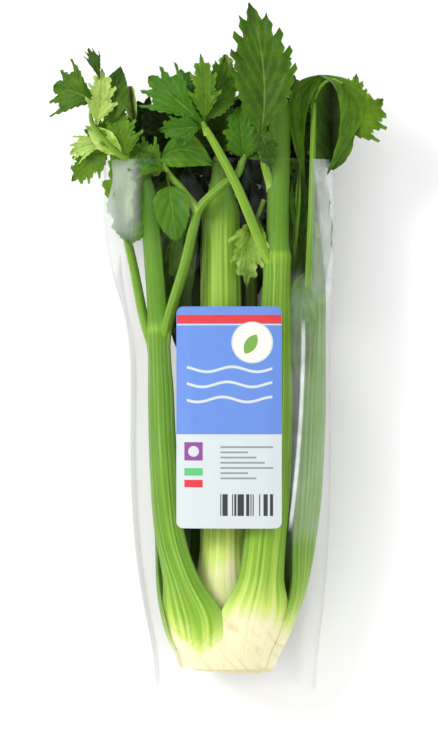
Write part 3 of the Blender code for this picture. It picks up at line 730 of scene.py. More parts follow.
def stalk_section(width, thickness, half_wrap, rib, ribs, seed):
    """A crescent with uneven ribs outside: points, and how near each is to a rib's crest."""
    radius = width / (2 * math.sin(half_wrap))
    thickness = min(thickness, MOST_DEPTH * radius)
    points, crests = [], []
    steps = ribs * POINTS_PER_RIB
    for k in range(steps + 1):
        share = 2 * k / steps - 1
        crest = abs(math.sin(math.pi * k / POINTS_PER_RIB)) ** 0.7
        depth = 0.55 + 0.9 * noise.noise((k // POINTS_PER_RIB * 2.7, seed, 0.5))
        crest = 1 - (1 - crest) * min(1.0, max(SHALLOWEST, depth))
        edge = 0.5 * rib * max(0.0, abs(share) - 0.9) / 0.1
        reach = radius + rib * crest - edge
        drift = 0.8 / ribs * noise.noise((share * 3.0, seed, 4.0)) * (1 - share * share)
        angle = (share + drift) * half_wrap
        points.append((reach * math.sin(angle), reach * math.cos(angle) - radius))
        crests.append(crest)
    for k in range(INNER_POINTS):
        share = 1 - 2 * (k + 0.5) / INNER_POINTS
        depth = thickness * (EDGE_DEPTH + (1 - EDGE_DEPTH) * (1 - abs(share) ** EDGE_POWER))
        reach = radius - depth
        angle = share * half_wrap * INNER_WRAP
        points.append((reach * math.sin(angle), reach * math.cos(angle) - radius))
        crests.append(0.8)
    return points, crests


def stalk_skin(stalk, settings):
    """The ribbed petiole, with a faint bow, a swollen joint and a rounded root in the butt."""
    shape = stalk_shape(stalk)
    joint, end = stalk["joint_y"], stalk["end_y"]
    seed = sum(stalk["name"].encode()) % 97
    rings, paleness, crests = [], [], []
    start = SHEATH_END_Y + seed % 3 * 0.6 if stalk["slot"] == "stalk" else BASE_Y - 3.0
    for y in spread(start, end, settings.station):
        width, thickness, wrap = between(shape, y)
        angle = stalk_angle(stalk, y)
        x, z = crest_point(y, stalk_reach(stalk, y), angle)
        facing = crest_facing(y, angle)
        above = step_up(y, joint, JOINT_BLEND)
        foot = share_of((y - RIBS_START_Y) / RIBS_GROW)
        rib = stalk["rib"] * min(1.0, width / 24.0) * settings.rib
        rib *= (1 - 0.8 * above) * (0.15 + 0.85 * foot)
        knot = stalk["knot"] * math.exp(-(((y - joint) / KNOT_LENGTH) ** 2))
        waver = 1 + 0.02 * noise.noise((y * 0.045, seed, 0.0)) + 0.025 * knot
        points, crest = stalk_section(
            width * waver, thickness, math.radians(wrap), rib, stalk["ribs"], seed
        )
        across = (math.sin(facing), -math.cos(facing))
        outwards = (math.cos(facing), math.sin(facing))
        rings.append([
            (
                x + u * across[0] + (v - rib) * outwards[0],
                y,
                z + u * across[1] + (v - rib) * outwards[1],
            )
            for u, v in points
        ])
        base = stalk["tone"] * (1 - 0.5 * above) + 0.16 * knot
        pale_x, slope = stalk["lean"]
        row = []
        for point in rings[-1]:
            lower = min(PALE_MOST, slope * abs(point[0] - pale_x))
            foot_pale = share_of((FOOT_GREEN_Y - y - min(0.0, lower)) / FOOT_BLEND)
            pale = between(PALENESS, y - stalk["fade"] + lower)[0]
            row.append(base + max(foot_pale, min(stalk["palest"], pale)))
        paleness.append(row)
        crests.append([c * (1 - 0.9 * above) + 0.56 * above for c in crest])
    # Painted shade, even over the whole stalk, for stalks that lie deep in the head.
    shades = [[stalk["shade"]] * len(points)] * len(rings)
    return skin(rings, {"paleness": paleness, "crest": crests, "shade": shades})


def stem_skin(points, start, end, flare, pale, shade, settings, sides=14):
    """A round, faintly grooved stem along a smooth curve, flared where it leaves what bears it."""
    rows = [(float(k), *point) for k, point in enumerate(points)]
    last = len(points) - 1
    reach = sum((Vector(a) - Vector(b)).length for a, b in zip(points, points[1:]))
    steps = max(4, round(reach / settings.station))
    path = [Vector(between(rows, last * k / steps)) for k in range(steps + 1)]
    side = None
    rings, paleness, crests = [], [], []
    for k, point in enumerate(path):
        ahead = (path[min(k + 1, steps)] - path[max(k - 1, 0)]).normalized()
        if side is None:
            side = ahead.orthogonal().normalized()
        side = (side - ahead * side.dot(ahead)).normalized()
        other = ahead.cross(side)
        share = k / steps
        radius = start + (end - start) * share + flare * math.exp(-share * reach / 4.0)
        ring, crest = [], []
        for n in range(sides):
            turn = 2 * math.pi * n / sides
            groove = n % 2
            wide = radius * (1 - 0.05 * groove)
            ring.append(point + side * (wide * math.cos(turn)) + other * (wide * math.sin(turn)))
            crest.append(1.0 - 0.6 * groove)
        rings.append(ring)
        crests.append(crest)
        paleness.append([pale + 0.16 * math.exp(-share * reach / 5.0)] * sides)
    # Painted shade, even along the whole stem.
    shades = [[shade] * sides] * len(rings)
    return skin(rings, {"paleness": paleness, "crest": crests, "shade": shades})


# The leaves. Each shape of leaflet: (how large its teeth are, how much its sides rise, half outline),
# and a half outline has rows: (place along the midrib, place of the edge point along the length,
# edge point across as a share of the half width).
LEAFLET_SHAPES = {
    "lobed": (1.0, 0.22, (
        (0.0, 0.0, 0.05), (0.1, 0.12, 0.14), (0.18, 0.27, 0.52), (0.26, 0.5, 1.0), (0.36, 0.45, 0.6),
        (0.43, 0.54, 0.54), (0.5, 0.75, 0.8), (0.61, 0.69, 0.44), (0.71, 0.88, 0.46), (0.82, 0.87, 0.2),
        (1.0, 1.0, 0.03),
    )),
    "spear": (0.9, 0.16, (
        (0.0, 0.0, 0.04), (0.07, 0.09, 0.14), (0.16, 0.22, 0.58), (0.24, 0.36, 0.78), (0.31, 0.55, 1.0),
        (0.39, 0.49, 0.76), (0.45, 0.68, 0.9), (0.53, 0.61, 0.64), (0.59, 0.81, 0.7), (0.67, 0.75, 0.46),
        (0.75, 0.92, 0.43), (0.84, 0.87, 0.24), (1.0, 1.0, 0.02),
    )),
    "wedge": (0.6, 0.2, (
        (0.0, 0.0, 0.05), (0.12, 0.2, 0.16), (0.24, 0.42, 0.42), (0.31, 0.62, 0.72), (0.37, 0.86, 1.0),
        (0.48, 0.71, 0.64), (0.57, 0.78, 0.48), (0.65, 0.97, 0.55), (0.76, 0.85, 0.25), (0.88, 0.96, 0.17),
        (1.0, 1.0, 0.03),
    )),
    "fan": (1.1, 0.18, (
        (0.0, 0.0, 0.06), (0.1, 0.04, 0.42), (0.16, 0.21, 1.0), (0.24, 0.25, 0.56), (0.31, 0.62, 1.0),
        (0.42, 0.54, 0.46), (0.52, 0.87, 0.64), (0.66, 0.76, 0.27), (0.8, 0.95, 0.22), (1.0, 1.0, 0.03),
    )),
    "round": (1.2, 0.25, (
        (0.0, 0.0, 0.06), (0.14, 0.08, 0.5), (0.22, 0.2, 0.98), (0.34, 0.36, 0.72), (0.42, 0.58, 1.0),
        (0.54, 0.6, 0.58), (0.64, 0.84, 0.66), (0.8, 0.9, 0.34), (1.0, 1.0, 0.1),
    )),
    "oval": (0.35, 0.3, (
        (0.0, 0.0, 0.06), (0.1, 0.1, 0.5), (0.25, 0.26, 0.88), (0.42, 0.44, 1.0), (0.6, 0.62, 0.86),
        (0.78, 0.8, 0.54), (0.9, 0.91, 0.27), (1.0, 1.0, 0.03),
    )),
    "cupped": (0.2, 0.55, (
        (0.0, 0.0, 0.08), (0.1, 0.08, 0.5), (0.24, 0.22, 0.84), (0.42, 0.42, 1.0), (0.62, 0.64, 1.0),
        (0.8, 0.82, 0.92), (0.92, 0.93, 0.7), (1.0, 1.0, 0.3),
    )),
    "stalked": (0.8, 0.2, (
        (0.0, 0.0, 0.07), (0.26, 0.26, 0.07), (0.34, 0.31, 0.6), (0.44, 0.42, 0.96), (0.6, 0.61, 1.0),
        (0.78, 0.8, 0.8), (0.92, 0.93, 0.44), (1.0, 1.0, 0.1),
    )),
}
EDGE_STEPS = 4               # rows of the blade for each row of its outline
# How far the edge stands out at each of those rows, rising and falling towards a lobe's tip.
TEETH_RISING = (0.0, 0.10, 0.0, 0.11)
TEETH_FALLING = (0.0, 0.0, 0.09, 0.0)
SIDE_COLUMNS = 9

# Each spray: (name, stem points, stem radii, flare, leaflets), and each leaflet:
# (base, bow, tip, width, roll, shape, tone), and after these how far its green turns cooler, if at
# all. Tone runs from 0, dark green, to 1, yellow green.
SPRAYS = (
    ("leaf_front_left_top", (
        (-48, 125.6, 47.5), (-52, 128.5, 53), (-60, 130, 59.5), (-68, 133, 64), (-77, 142, 66),
        (-84, 152, 67), (-84, 162, 68),
    ), (2.6, 1.2), 1.6, (
        ((-80, 163, 68), (-92, 170, 74), (-107, 174, 61), 37, 8, "wedge", 0.3),
        ((-79, 176, 69), (-80, 186, 75), (-86, 196, 70), 11, 30, "wedge", 0.12),
        ((-82, 150, 67), (-77, 164, 75), (-78, 184, 67), 22, -20, "lobed", 1.0),
        ((-72, 152, 65.4), (-71, 170, 69), (-67, 186, 58), 17, 0, "oval", 0.14),
        ((-62, 130, 62.3), (-66, 144, 69), (-70, 158, 63), 27, 10, "lobed", 0.42),
        ((-66, 133, 64), (-76, 142, 68), (-88, 150, 60), 13, 20, "oval", 0.85),
        ((-58, 152, 56), (-60, 164, 64), (-61, 174, 60), 8, 30, "cupped", 0.85),
        ((-56, 136, 62), (-52, 130, 67), (-49, 118, 60), 15, 0, "lobed", 0.1, 0.6),
    )),
    ("leaf_left_side", ((-71.6, 130.6, 41.2), (-74, 138, 44), (-78, 141, 46)), (1.9, 1.1), 0.4, (
        ((-72, 139, 46), (-86, 143, 52), (-98, 134, 42), 17, 10, "wedge", 1.0),
        ((-73, 136, 43.5), (-86, 130, 47), (-97, 118, 35), 25, -15, "lobed", 0.5),
    )),
    ("leaf_left_pressed", ((-65.5, 90, 43.5), (-64, 96, 47)), (1.5, 1.2), 0.3, (
        ((-66, 90, 46), (-68, 112, 55), (-66, 139, 58), 20, 25, "round", 0.62, 0.3),
        ((-62, 80, 45), (-57, 104, 51), (-57, 138, 56), 25, 0, "round", 0.38, 0.4),
    )),
    ("leaf_front_left_inner", ((-36.8, 120.2, 62), (-39, 123.5, 63), (-41, 129, 64)), (1.7, 1.2), 0.4, (
        ((-38.8, 122.8, 63.6), (-37, 106, 68.5), (-33.5, 81, 63), 21, 0, "stalked", 0.42, 0.55),
        ((-43, 130, 64), (-29, 143, 69), (-11, 126, 65), 22, 0, "oval", 0.42, 0.5),
        ((-40.5, 123, 62), (-50, 134, 64), (-66, 134, 59), 27, 0, "lobed", 0.42, 0.35),
    )),
    ("leaf_front_middle", ((6.5, 129.2, 62.5), (8, 133, 63)), (2.0, 1.6), 0.3, (
        ((7.6, 131, 62.8), (5, 146, 71), (4, 161, 67), 21, 0, "round", 0.5, 1.0),
        ((7.4, 131, 62.6), (15, 138, 62), (22, 152, 57), 17, 0, "round", 0.2, 0.6),
    )),
    ("leaf_front_high", ((-16.4, 148.6, 72.1), (-17.5, 152, 72.5)), (2.0, 1.5), 0.3, (
        ((-17, 150.5, 72.4), (-14, 170, 82), (-19, 192, 77), 20, 20, "lobed", 0.42),
        ((-17.2, 150.5, 72.4), (-32, 164, 80), (-50, 179, 68), 34, 10, "wedge", 0.34, 0.9),
        ((-17.5, 151, 71.5), (-29, 172, 72), (-31, 184, 60), 22, -20, "lobed", 0.2, 0.5),
        ((-16.8, 150.5, 72.4), (-8, 168, 76), (-4, 191, 66), 26, 0, "spear", 0.28, 0.3),
        ((-17.2, 149, 72.4), (-30, 148, 76), (-44, 147, 68), 20, 10, "lobed", 0.24, 0.7),
        ((-4, 172, 62), (-3, 184, 64), (-4, 193, 60), 12, 0, "round", 1.0),
    )),
    ("leaf_front_large", ((17.3, 137.8, 73.3), (16.8, 142, 75)), (2.1, 1.8), 0.3, (
        ((16.8, 141, 74.8), (24, 180, 86), (10, 223, 72), 39, 0, "spear", 0.22),
        ((16.5, 146, 76), (20, 139, 79), (23, 125, 72), 15, 0, "round", 0.15),
    )),
    ("leaf_front_right_top", ((29, 167.2, 60.5), (29.5, 172, 61.5)), (3.0, 2.2), 2.0, (
        ((29, 170, 61.5), (15, 182, 63), (4, 203, 58), 27, 0, "lobed", 0.15),
        ((30, 168, 61.5), (34, 175, 60), (38, 181, 50), 20, 0, "lobed", 0.1),
        ((29, 171, 61.5), (27, 185, 62), (26, 196, 54), 22, 0, "lobed", 0.15),
    )),
    ("leaf_between_stalks", ((17.5, 101, 58.5), (15.5, 96, 60)), (1.6, 1.3), 0.3, (
        ((16, 98, 60.5), (6, 80, 69), (9, 53, 62), 25, 15, "lobed", 0.8),
        ((15.8, 97, 60), (13, 84, 66), (17, 70, 62), 13, -20, "lobed", 0.6),
    )),
    ("leaf_inner_front", ((-7.8, 132.8, 50.5), (-7, 138, 50), (-6, 146, 48)), (3.0, 1.8), 2.5, (
        ((-7, 137, 50), (-17, 147, 55), (-30, 164, 50), 32, 0, "lobed", 0.3),
        ((-6.5, 138, 50), (6, 152, 54), (13, 171, 48), 29, 0, "lobed", 0.3),
        ((-6, 145, 48), (-7, 164, 50), (-9, 184, 42), 32, 0, "fan", 0.25),
        ((-7, 137, 50), (-19, 138.5, 52.5), (-36, 139, 45), 23, 0, "lobed", 0.4),
    )),
    ("leaf_right_curled", (
        (49.2, 164.8, 62.2), (51, 170, 66), (55, 175, 70), (60, 177, 73), (66, 174.5, 74),
    ), (1.2, 0.7), 0.2, (
        ((60, 124, 54), (60, 152, 50), (60, 179, 62), 27, -4, "cupped", 0.3),
        ((51, 180, 70), (88, 176, 80), (57, 121, 58), 17, 25, "oval", 0.4),
        ((58, 180, 68), (30, 178, 64), (44, 118, 56), 14, -10, "oval", 0.34),
    )),
    ("leaf_right_side", (
        (50.8, 137.6, 47), (52.4, 141.5, 46), (57, 144, 46), (63, 146, 47), (69, 147, 49),
    ), (2.7, 1.5), 2.0, (
        ((66, 146.5, 48.5), (78, 153, 60), (91, 167, 50), 35, 0, "lobed", 0.62),
        ((68, 146.8, 48.5), (72, 162, 58), (75, 182, 52), 21, 0, "spear", 0.62),
        ((61, 145.4, 46), (56, 156, 49), (54, 172, 44), 27, 0, "lobed", 0.15),
    )),
    ("leaf_right_pressed", ((50.5, 88, 57), (49.5, 93, 58)), (1.4, 1.2), 0.3, (
        ((49.5, 91.5, 57), (53, 108, 58), (52, 128, 52), 15, -25, "oval", 0.32),
        ((44, 62, 55), (40, 40, 60), (41, -4, 58), 20, -10, "oval", 0.38),
        ((44, 80, 54), (39, 104, 56), (40, 128, 52), 13, -10, "oval", 0.12),
        ((41, 128, 54), (39, 100, 59), (37, 62, 56), 3.4, 0, "oval", 0.6),
        ((53, 122, 44), (53.5, 85, 51), (52, 30, 46), 13, 0, "oval", 0.55),
    )),
    ("leaf_back_right", ((34.5, 129, 14), (36, 137, 14), (39, 146, 15)), (2.7, 1.7), 2.0, (
        ((38.5, 145, 15), (50, 156, 20), (64, 164, 14), 32, 0, "lobed", 0.2),
        ((39, 145.5, 15), (41, 162, 20), (43, 180, 17), 31, 0, "lobed", 0.2),
        ((36, 137, 14), (25, 150, 17), (20, 168, 16), 29, 0, "lobed", 0.2),
    )),
    ("leaf_back_left", ((-22.5, 123, 10.5), (-24, 131, 12), (-27, 141, 14)), (2.7, 1.7), 2.0, (
        ((-26.5, 140, 14), (-38, 150, 20), (-50, 164, 14), 32, 0, "lobed", 0.2),
        ((-27, 140.5, 14), (-25, 158, 20), (-22, 180, 18), 31, 0, "lobed", 0.2),
        ((-24, 132, 12), (-11, 144, 16), (-2, 160, 15), 28, 0, "lobed", 0.2),
    )),
    ("leaf_left_low", ((-49, 105, 31), (-55, 118, 26), (-61, 132, 23), (-67, 143, 23)), (2.6, 1.5), 2.0, (
        ((-66.5, 142.5, 23), (-78, 146, 27), (-90, 150, 19), 24, 0, "lobed", 0.4),
        ((-66.8, 143, 23), (-71, 158, 27), (-76, 170, 22), 25, 0, "lobed", 0.35),
        ((-63, 136, 23), (-54, 150, 27), (-50, 170, 28), 27, 0, "lobed", 0.3),
    )),
    ("leaf_inner_right", ((31.5, 120.8, 32), (32, 130, 31), (32, 140, 30)), (2.3, 1.5), 1.5, (
        ((32, 139, 30), (41, 152, 33), (54, 166, 27), 30, 0, "lobed", 0.2),
        ((32, 139.5, 30), (30, 156, 34), (27, 176, 32), 31, 0, "fan", 0.2),
        ((32, 131, 31), (20, 142, 35), (8, 156, 32), 29, 0, "lobed", 0.2),
    )),
    ("leaf_inner_left", ((-24.5, 117, 26.5), (-26, 128, 28), (-29, 139, 30)), (2.3, 1.5), 1.5, (
        ((-28.8, 138, 30), (-40, 150, 36), (-53, 166, 34), 31, 0, "lobed", 0.25),
        ((-29, 138.5, 30), (-26, 156, 36), (-21, 177, 33), 31, 0, "fan", 0.25),
        ((-26.5, 129, 28), (-40, 132, 32), (-55, 138, 34), 27, 0, "lobed", 0.25),
    )),
    ("leaf_heart", ((12, 113, 41.5), (12, 122, 42), (9, 133, 42)), (1.6, 1.1), 1.0, (
        ((9.5, 132, 42), (6, 146, 45), (2, 164, 40), 23, 0, "lobed", 0.35),
        ((12, 123, 42), (20, 133, 46), (31, 150, 42), 23, 0, "lobed", 0.3),
        ((12, 122, 42), (2, 128, 44), (-8, 134, 40), 15, 0, "lobed", 0.3),
    )),
)


# Leaflets that only fill the gaps between stalks and leaves, deep in the head.
HIDDEN_LEAFLETS = {
    "leaf_inner_left": (
        ((-27, 128, 32), (-30, 105, 40), (-31, 66, 34), 32, 10, "lobed", 0.25),
        ((-28, 126, 30), (-22, 100, 38), (-19, 60, 32), 28, -10, "lobed", 0.25),
        ((-36, 122, 34), (-38, 90, 44), (-32, 14, 40), 32, 0, "oval", 0.42),
        ((-30, 110, 40), (-36, 84, 48), (-33, 52, 46), 16, 0, "lobed", 0.4),
    ),
    "leaf_heart": (
        ((12, 122, 42), (10, 100, 46), (12, 62, 40), 28, 0, "lobed", 0.25),
        ((10, 130, 42), (-4, 122, 50), (-14, 112, 40), 24, 20, "lobed", 0.25),
    ),
    "leaf_inner_right": (
        ((32, 130, 31), (38, 104, 42), (42, 58, 36), 34, 0, "lobed", 0.25),
        ((32, 128, 31), (26, 104, 36), (24, 64, 30), 30, 0, "lobed", 0.25),
        ((40, 126, 34), (46, 90, 47), (44, 20, 41), 34, 0, "oval", 0.4),
    ),
    "leaf_back_left": (
        ((-24, 131, 12), (-34, 100, 18), (-36, 50, 16), 36, 0, "lobed", 0.25),
        ((-24, 128, 12), (-12, 96, 18), (-8, 46, 16), 34, 0, "lobed", 0.25),
    ),
    "leaf_back_right": (
        ((36, 137, 14), (38, 100, 20), (40, 48, 18), 36, 0, "lobed", 0.25),
        ((36, 134, 14), (22, 100, 18), (16, 50, 16), 34, 0, "lobed", 0.25),
    ),
}
# How many more leaflets of the crown each of these sprays has, which point all ways.
CROWN_LEAFLETS = {
    "leaf_inner_left": 7, "leaf_inner_right": 7, "leaf_heart": 8, "leaf_inner_front": 4,
    "leaf_back_left": 6, "leaf_back_right": 6, "leaf_left_low": 3,
}
CROWN_LOW = Vector((-70.0, 118.0, 10.0))
CROWN_HIGH = Vector((54.0, 172.0, 60.0))


def crown_leaflet(stem, rng):
    """A leaflet that grows from the stem in a chance direction and stays inside the crown."""
    first, second = (Vector(point) for point in rng.choice(list(zip(stem, stem[1:]))))
    base = first.lerp(second, rng.random())
    heading = math.radians(rng.triangular(-130.0, 130.0, 0.0))
    length = rng.uniform(20.0, 34.0)
    away = Vector((math.sin(heading), math.cos(heading), rng.uniform(-0.25, 0.35)))
    tip = base + away * length
    tip = Vector(min(max(v, low), high) for v, low, high in zip(tip, CROWN_LOW, CROWN_HIGH))
    bow = base.lerp(tip, 0.55) + Vector((0.0, 0.0, rng.uniform(2.0, 7.0)))
    width = length * rng.uniform(0.72, 0.95)
    shape = rng.choice(("lobed", "fan", "wedge"))
    return base, bow, tip, width, rng.uniform(-40.0, 40.0), shape, rng.uniform(0.1, 0.6)


def blade_edge(outline, tooth):
    """The outline's rows with teeth between them: (along the midrib, along at the edge, across)."""
    rows = []
    for start, end in zip(outline, outline[1:]):
        teeth = TEETH_RISING if end[2] > start[2] else TEETH_FALLING
        for k in range(EDGE_STEPS):
            share = k / EDGE_STEPS
            mid, along, out = (a + (b - a) * share for a, b in zip(start, end))
            rows.append((mid, along, out + teeth[k] * tooth * min(1.0, 4.0 * out)))
    rows.append(outline[-1])
    return rows


def head_depth(x, y, z):
    """How deep in the head a point is: 1 at its axis, 0 at its outside."""
    _, half_width, half_height = head_at(y)
    radius = math.hypot((x - HEAD_CENTRE_X) / half_width, (z - HEAD_CENTRE_Z) / half_height)
    return share_of((0.95 - radius) / 0.5)


def crown_painted_shade(x, y, z):
    """How much painted shade darkens a point low in the crown, between the leaves on top and those at the
    back.
    """
    between_layers = share_of((54.0 - z) / 18.0) * share_of((z - 12.0) / 12.0)
    above_mouth = share_of((y - 100.0) / 20.0)
    inside = share_of((78.0 - abs(x - HEAD_CENTRE_X)) / 20.0)
    return 0.85 * between_layers * above_mouth * inside


def blade_skin(leaflet, settings, rng):
    """A toothed, veined and slightly quilted leaflet with some thickness."""
    base, bow, tip, width, roll, shape, tone, cool = (*leaflet, 0.0)[:8]
    start, pull, end = Vector(base), Vector(bow), Vector(tip)
    length = (end - start).length
    ahead = (end - start).normalized()
    across = ahead.cross(Vector((0.0, 0.0, 1.0)))
    if across.length < 0.2:
        across = ahead.cross(Vector((0.0, -1.0, 0.0)))
    across.normalize()
    up = across.cross(ahead)
    angle = math.radians(roll)
    across, up = (
        across * math.cos(angle) + up * math.sin(angle),
        up * math.cos(angle) - across * math.sin(angle),
    )
    tooth, fold, outline = LEAFLET_SHAPES[shape]
    edge = blade_edge(outline, tooth)
    rows = len(edge) - 1
    phase = rng.uniform(0.0, 6.0)
    curl = rng.uniform(-0.14, 0.05)
    bm, (tones, shades, cools) = grid(2 * SIDE_COLUMNS, rows, ["tone", "shade", "cool"])
    for vert in bm.verts:
        row = round((vert.co.y + 0.5) * rows)
        side = 2 * vert.co.x
        share = abs(side)
        mid, along, out = edge[row]
        t = mid + (along - mid) * share
        rib = start * (1 - t) ** 2 + pull * (2 * t * (1 - t)) + end * t**2
        reach = share * out * width / 2
        lift = (settings.fold * fold + curl * share) * reach
        lift += settings.wave * length * math.sin(5.5 * t + 1.3 * side) * share * out
        pleat = math.cos(2 * math.pi * settings.veins * (row / rows - settings.slant * share))
        lift += settings.quilt * width * (1 - pleat) * share * (1 - 0.6 * share)
        lift += 1.2 * noise.noise((t * 5.0 + phase, side * 2.2, phase)) * (0.3 + share)
        vert.co = rib + across * math.copysign(reach, side) + up * lift
        vert[tones] = tone + 0.10 * share * share
        # Painted shade: the middle of a cupped leaflet, leaves deep in the head and leaves low in the
        # crown are darkened.
        painted_hollow_shade = 0.9 * (1 - share) if shape == "cupped" else 0.0
        vert[shades] = max(painted_hollow_shade, head_depth(*vert.co), crown_painted_shade(*vert.co))
        vert[cools] = cool
    return thicken(bm, settings.thickness)


# The sleeve and its label

# The sleeve's section where the stalks are widest: (x, z) from its lower left edge over the top to
# the lower right. A flat seam lies beside its left foot, and the right side is drawn tight.
FILM_TIGHT = (
    (-60.0, 0.0), (-61.8, 1.8), (-61.6, 5.0), (-60.5, 12.0), (-58.5, 28.0), (-56.5, 44.0), (-50.5, 57.0),
    (-38.0, 66.5), (-24.0, 71.5), (-10.0, 74.0), (6.0, 75.4), (22.0, 75.4), (38.0, 72.5), (50.0, 66.0),
    (57.0, 55.0), (59.5, 41.0), (59.5, 26.0), (57.5, 12.0), (52.0, 2.5), (45.0, 0.0),
)
# The same points at the mouth, where leaves hold the film open on the left.
FILM_OPEN = (
    (-62.0, 0.0), (-71.0, 5.0), (-76.0, 14.0), (-77.5, 26.0), (-77.5, 38.0), (-75.5, 49.0), (-68.0, 59.0),
    (-54.0, 68.0), (-36.0, 73.0), (-14.0, 75.6), (6.0, 76.2), (22.0, 75.8), (38.0, 73.0), (50.0, 67.0),
    (58.0, 57.0), (61.5, 43.0), (61.5, 28.0), (58.5, 12.0), (52.5, 2.5), (45.0, 0.0),
)
# (y, how far the left side is held open, scale across, scale in height, shift across)
FILM_STATIONS = (
    (FILM_LOW_Y, 0.0, 0.80, 0.915, 3.0),
    (-168.0, 0.0, 0.83, 0.93, 2.6),
    (-140.0, 0.0, 0.90, 0.95, 1.6),
    (-105.0, 0.0, 0.965, 0.975, 0.6),
    (-60.0, 0.0, 1.0, 0.99, 0.0),
    (0.0, 0.0, 1.0, 0.99, 0.0),
    (32.0, 0.20, 1.0, 0.995, 0.0),
    (62.0, 0.70, 1.0, 1.0, 0.0),
    (95.0, 1.0, 1.0, 1.0, 0.0),
    (FILM_HIGH_Y, 1.0, 1.0, 1.0, 0.0),
)
SEAM_OUT = -74.5             # X of the seam's outer edge where the sleeve is tight
SEAM_END_Y = 74.0            # where the seam runs out, under the side that is held open
SEAM_TAPER = 30.0            # length over which it narrows before that
SEAM_RISE = 1.3              # how much higher it is where it leaves the sleeve
FLAT_POINTS = 14             # across the underside
TOP_STEPS = 7                # between two points of a section
LABEL_ZONE = (-95.0, 45.0)   # along Y, where the label holds the film smooth
LABEL_HALF_WIDTH = 34.0
MOUTH_LENGTH = 12.0          # along Y, where the film is loosest at its upper end
FOOT_LENGTH = 14.0           # and at its lower end
LOOSE_BLEND = 5.0


def film_corners(y):
    """The sleeve's section at y, in the order of FILM_TIGHT."""
    opened, across, up, shift = between(FILM_STATIONS, y)
    opened = share_of(opened)
    corners = []
    for (x0, z0), (x1, z1) in zip(FILM_TIGHT, FILM_OPEN):
        x = x0 + (x1 - x0) * opened
        z = z0 + (z1 - z0) * opened
        corners.append((x * across + shift, z * up))
    return corners


def film_top(x, y):
    """Height of the sleeve's upper surface over (x, y)."""
    corners = film_corners(y)
    for (x0, z0), (x1, z1) in zip(corners[4:], corners[5:]):
        if x0 <= x <= x1:
            return z0 + (z1 - z0) * (x - x0) / (x1 - x0)
    return 0.0


def film_skin(settings):
    """The film: a smooth tube with lengthwise folds at its sides and crinkles at its mouth."""
    rings, crease_sheens = [], []
    for y in spread(FILM_LOW_Y, FILM_HIGH_Y, settings.station):
        rows = [(float(k), *corner) for k, corner in enumerate(film_corners(y))]
        last = len(rows) - 1
        count = last * TOP_STEPS
        outline = [between(rows, last * k / count) for k in range(count + 1)]
        left, right = outline[0][0], outline[-1][0]
        for k in range(1, FLAT_POINTS):
            outline.append((right + (left - right) * k / FLAT_POINTS, 0.0))
        to_mouth = step_up(y, FILM_HIGH_Y - MOUTH_LENGTH, LOOSE_BLEND)
        to_foot = 1 - step_up(y, FILM_LOW_Y + FOOT_LENGTH, LOOSE_BLEND)
        ring, crease_sheen = [], []
        for k, (x, z) in enumerate(outline):
            before, after = outline[k - 1], outline[(k + 1) % len(outline)]
            along = Vector((after[0] - before[0], after[1] - before[1])).normalized()
            outwards = Vector((-along.y, along.x))
            free = 0.0 if k > count else 1 - math.exp(-((z / 12.0) ** 2))
            covered = 1.0 if LABEL_ZONE[0] < y < LABEL_ZONE[1] else 0.3
            under_label = math.exp(-((x / LABEL_HALF_WIDTH) ** 6)) * covered
            loose = free * (1 - 0.85 * under_label) * (0.45 + 0.8 * to_mouth + 0.8 * to_foot)
            fold = noise.noise((x * 0.10, z * 0.10, y * 0.014))
            ridge = 1 - abs(noise.noise((x * 0.16 + 9.0, z * 0.16, y * 0.03)))
            flat = 0.15 + 0.85 * abs(outwards.y) ** 2
            push = flat * loose * settings.wrinkle * (fold + 0.8 * (ridge ** 6 - 0.5))
            ring.append((x + outwards.x * push, y, max(0.0, z + outwards.y * push)))
            # Painted sheen at the film's cut ends and on the tops of its ridges.
            edge = math.exp(-((FILM_HIGH_Y - y) / 0.8)) + math.exp(-((y - FILM_LOW_Y) / 0.8))
            peak = max(0.0, ridge - 0.93) / 0.07
            crease_sheen.append(free * (0.2 * edge + 0.35 * peak * (1 - under_label)))
        rings.append(ring)
        crease_sheens.append(crease_sheen)
    return thicken(face_outwards(tube(rings, {"crease_sheen": crease_sheens})), settings.wall)


def side_seam(settings):
    """The flat seam beside the sleeve: one thin, faintly rippled sheet on the floor."""
    rows = spread(FILM_LOW_Y, SEAM_END_Y, settings.station)
    bm, (crease_sheen,) = grid(6, len(rows) - 1, ["crease_sheen"])
    for vert in bm.verts:
        y = rows[round((vert.co.y + 0.5) * (len(rows) - 1))]
        share = 0.5 - vert.co.x
        _, across, _, shift = between(FILM_STATIONS, y)
        foot = film_corners(y)[1][0] + 1.0
        width = (SEAM_OUT * across + shift - foot) * min(1.0, (SEAM_END_Y - y) / SEAM_TAPER + 0.05)
        ripple = 0.5 * share * (0.5 + noise.noise((y * 0.06, share, 7.0)))
        vert.co = (foot + width * share, y, SEAM_RISE * (1 - share) + 0.3 + ripple)
        # Painted sheen along the seam's outer edge.
        vert[crease_sheen] = 0.6 * share ** 4
    return thicken(face_outwards(bm), settings.wall)


# Settings that a user would change

def amount(name, description, default, **limits):
    return FloatProperty(name=name, description=description, default=default, **limits)


def paint(name, description, default):
    return FloatVectorProperty(name=name, description=description, subtype="COLOR", default=default)


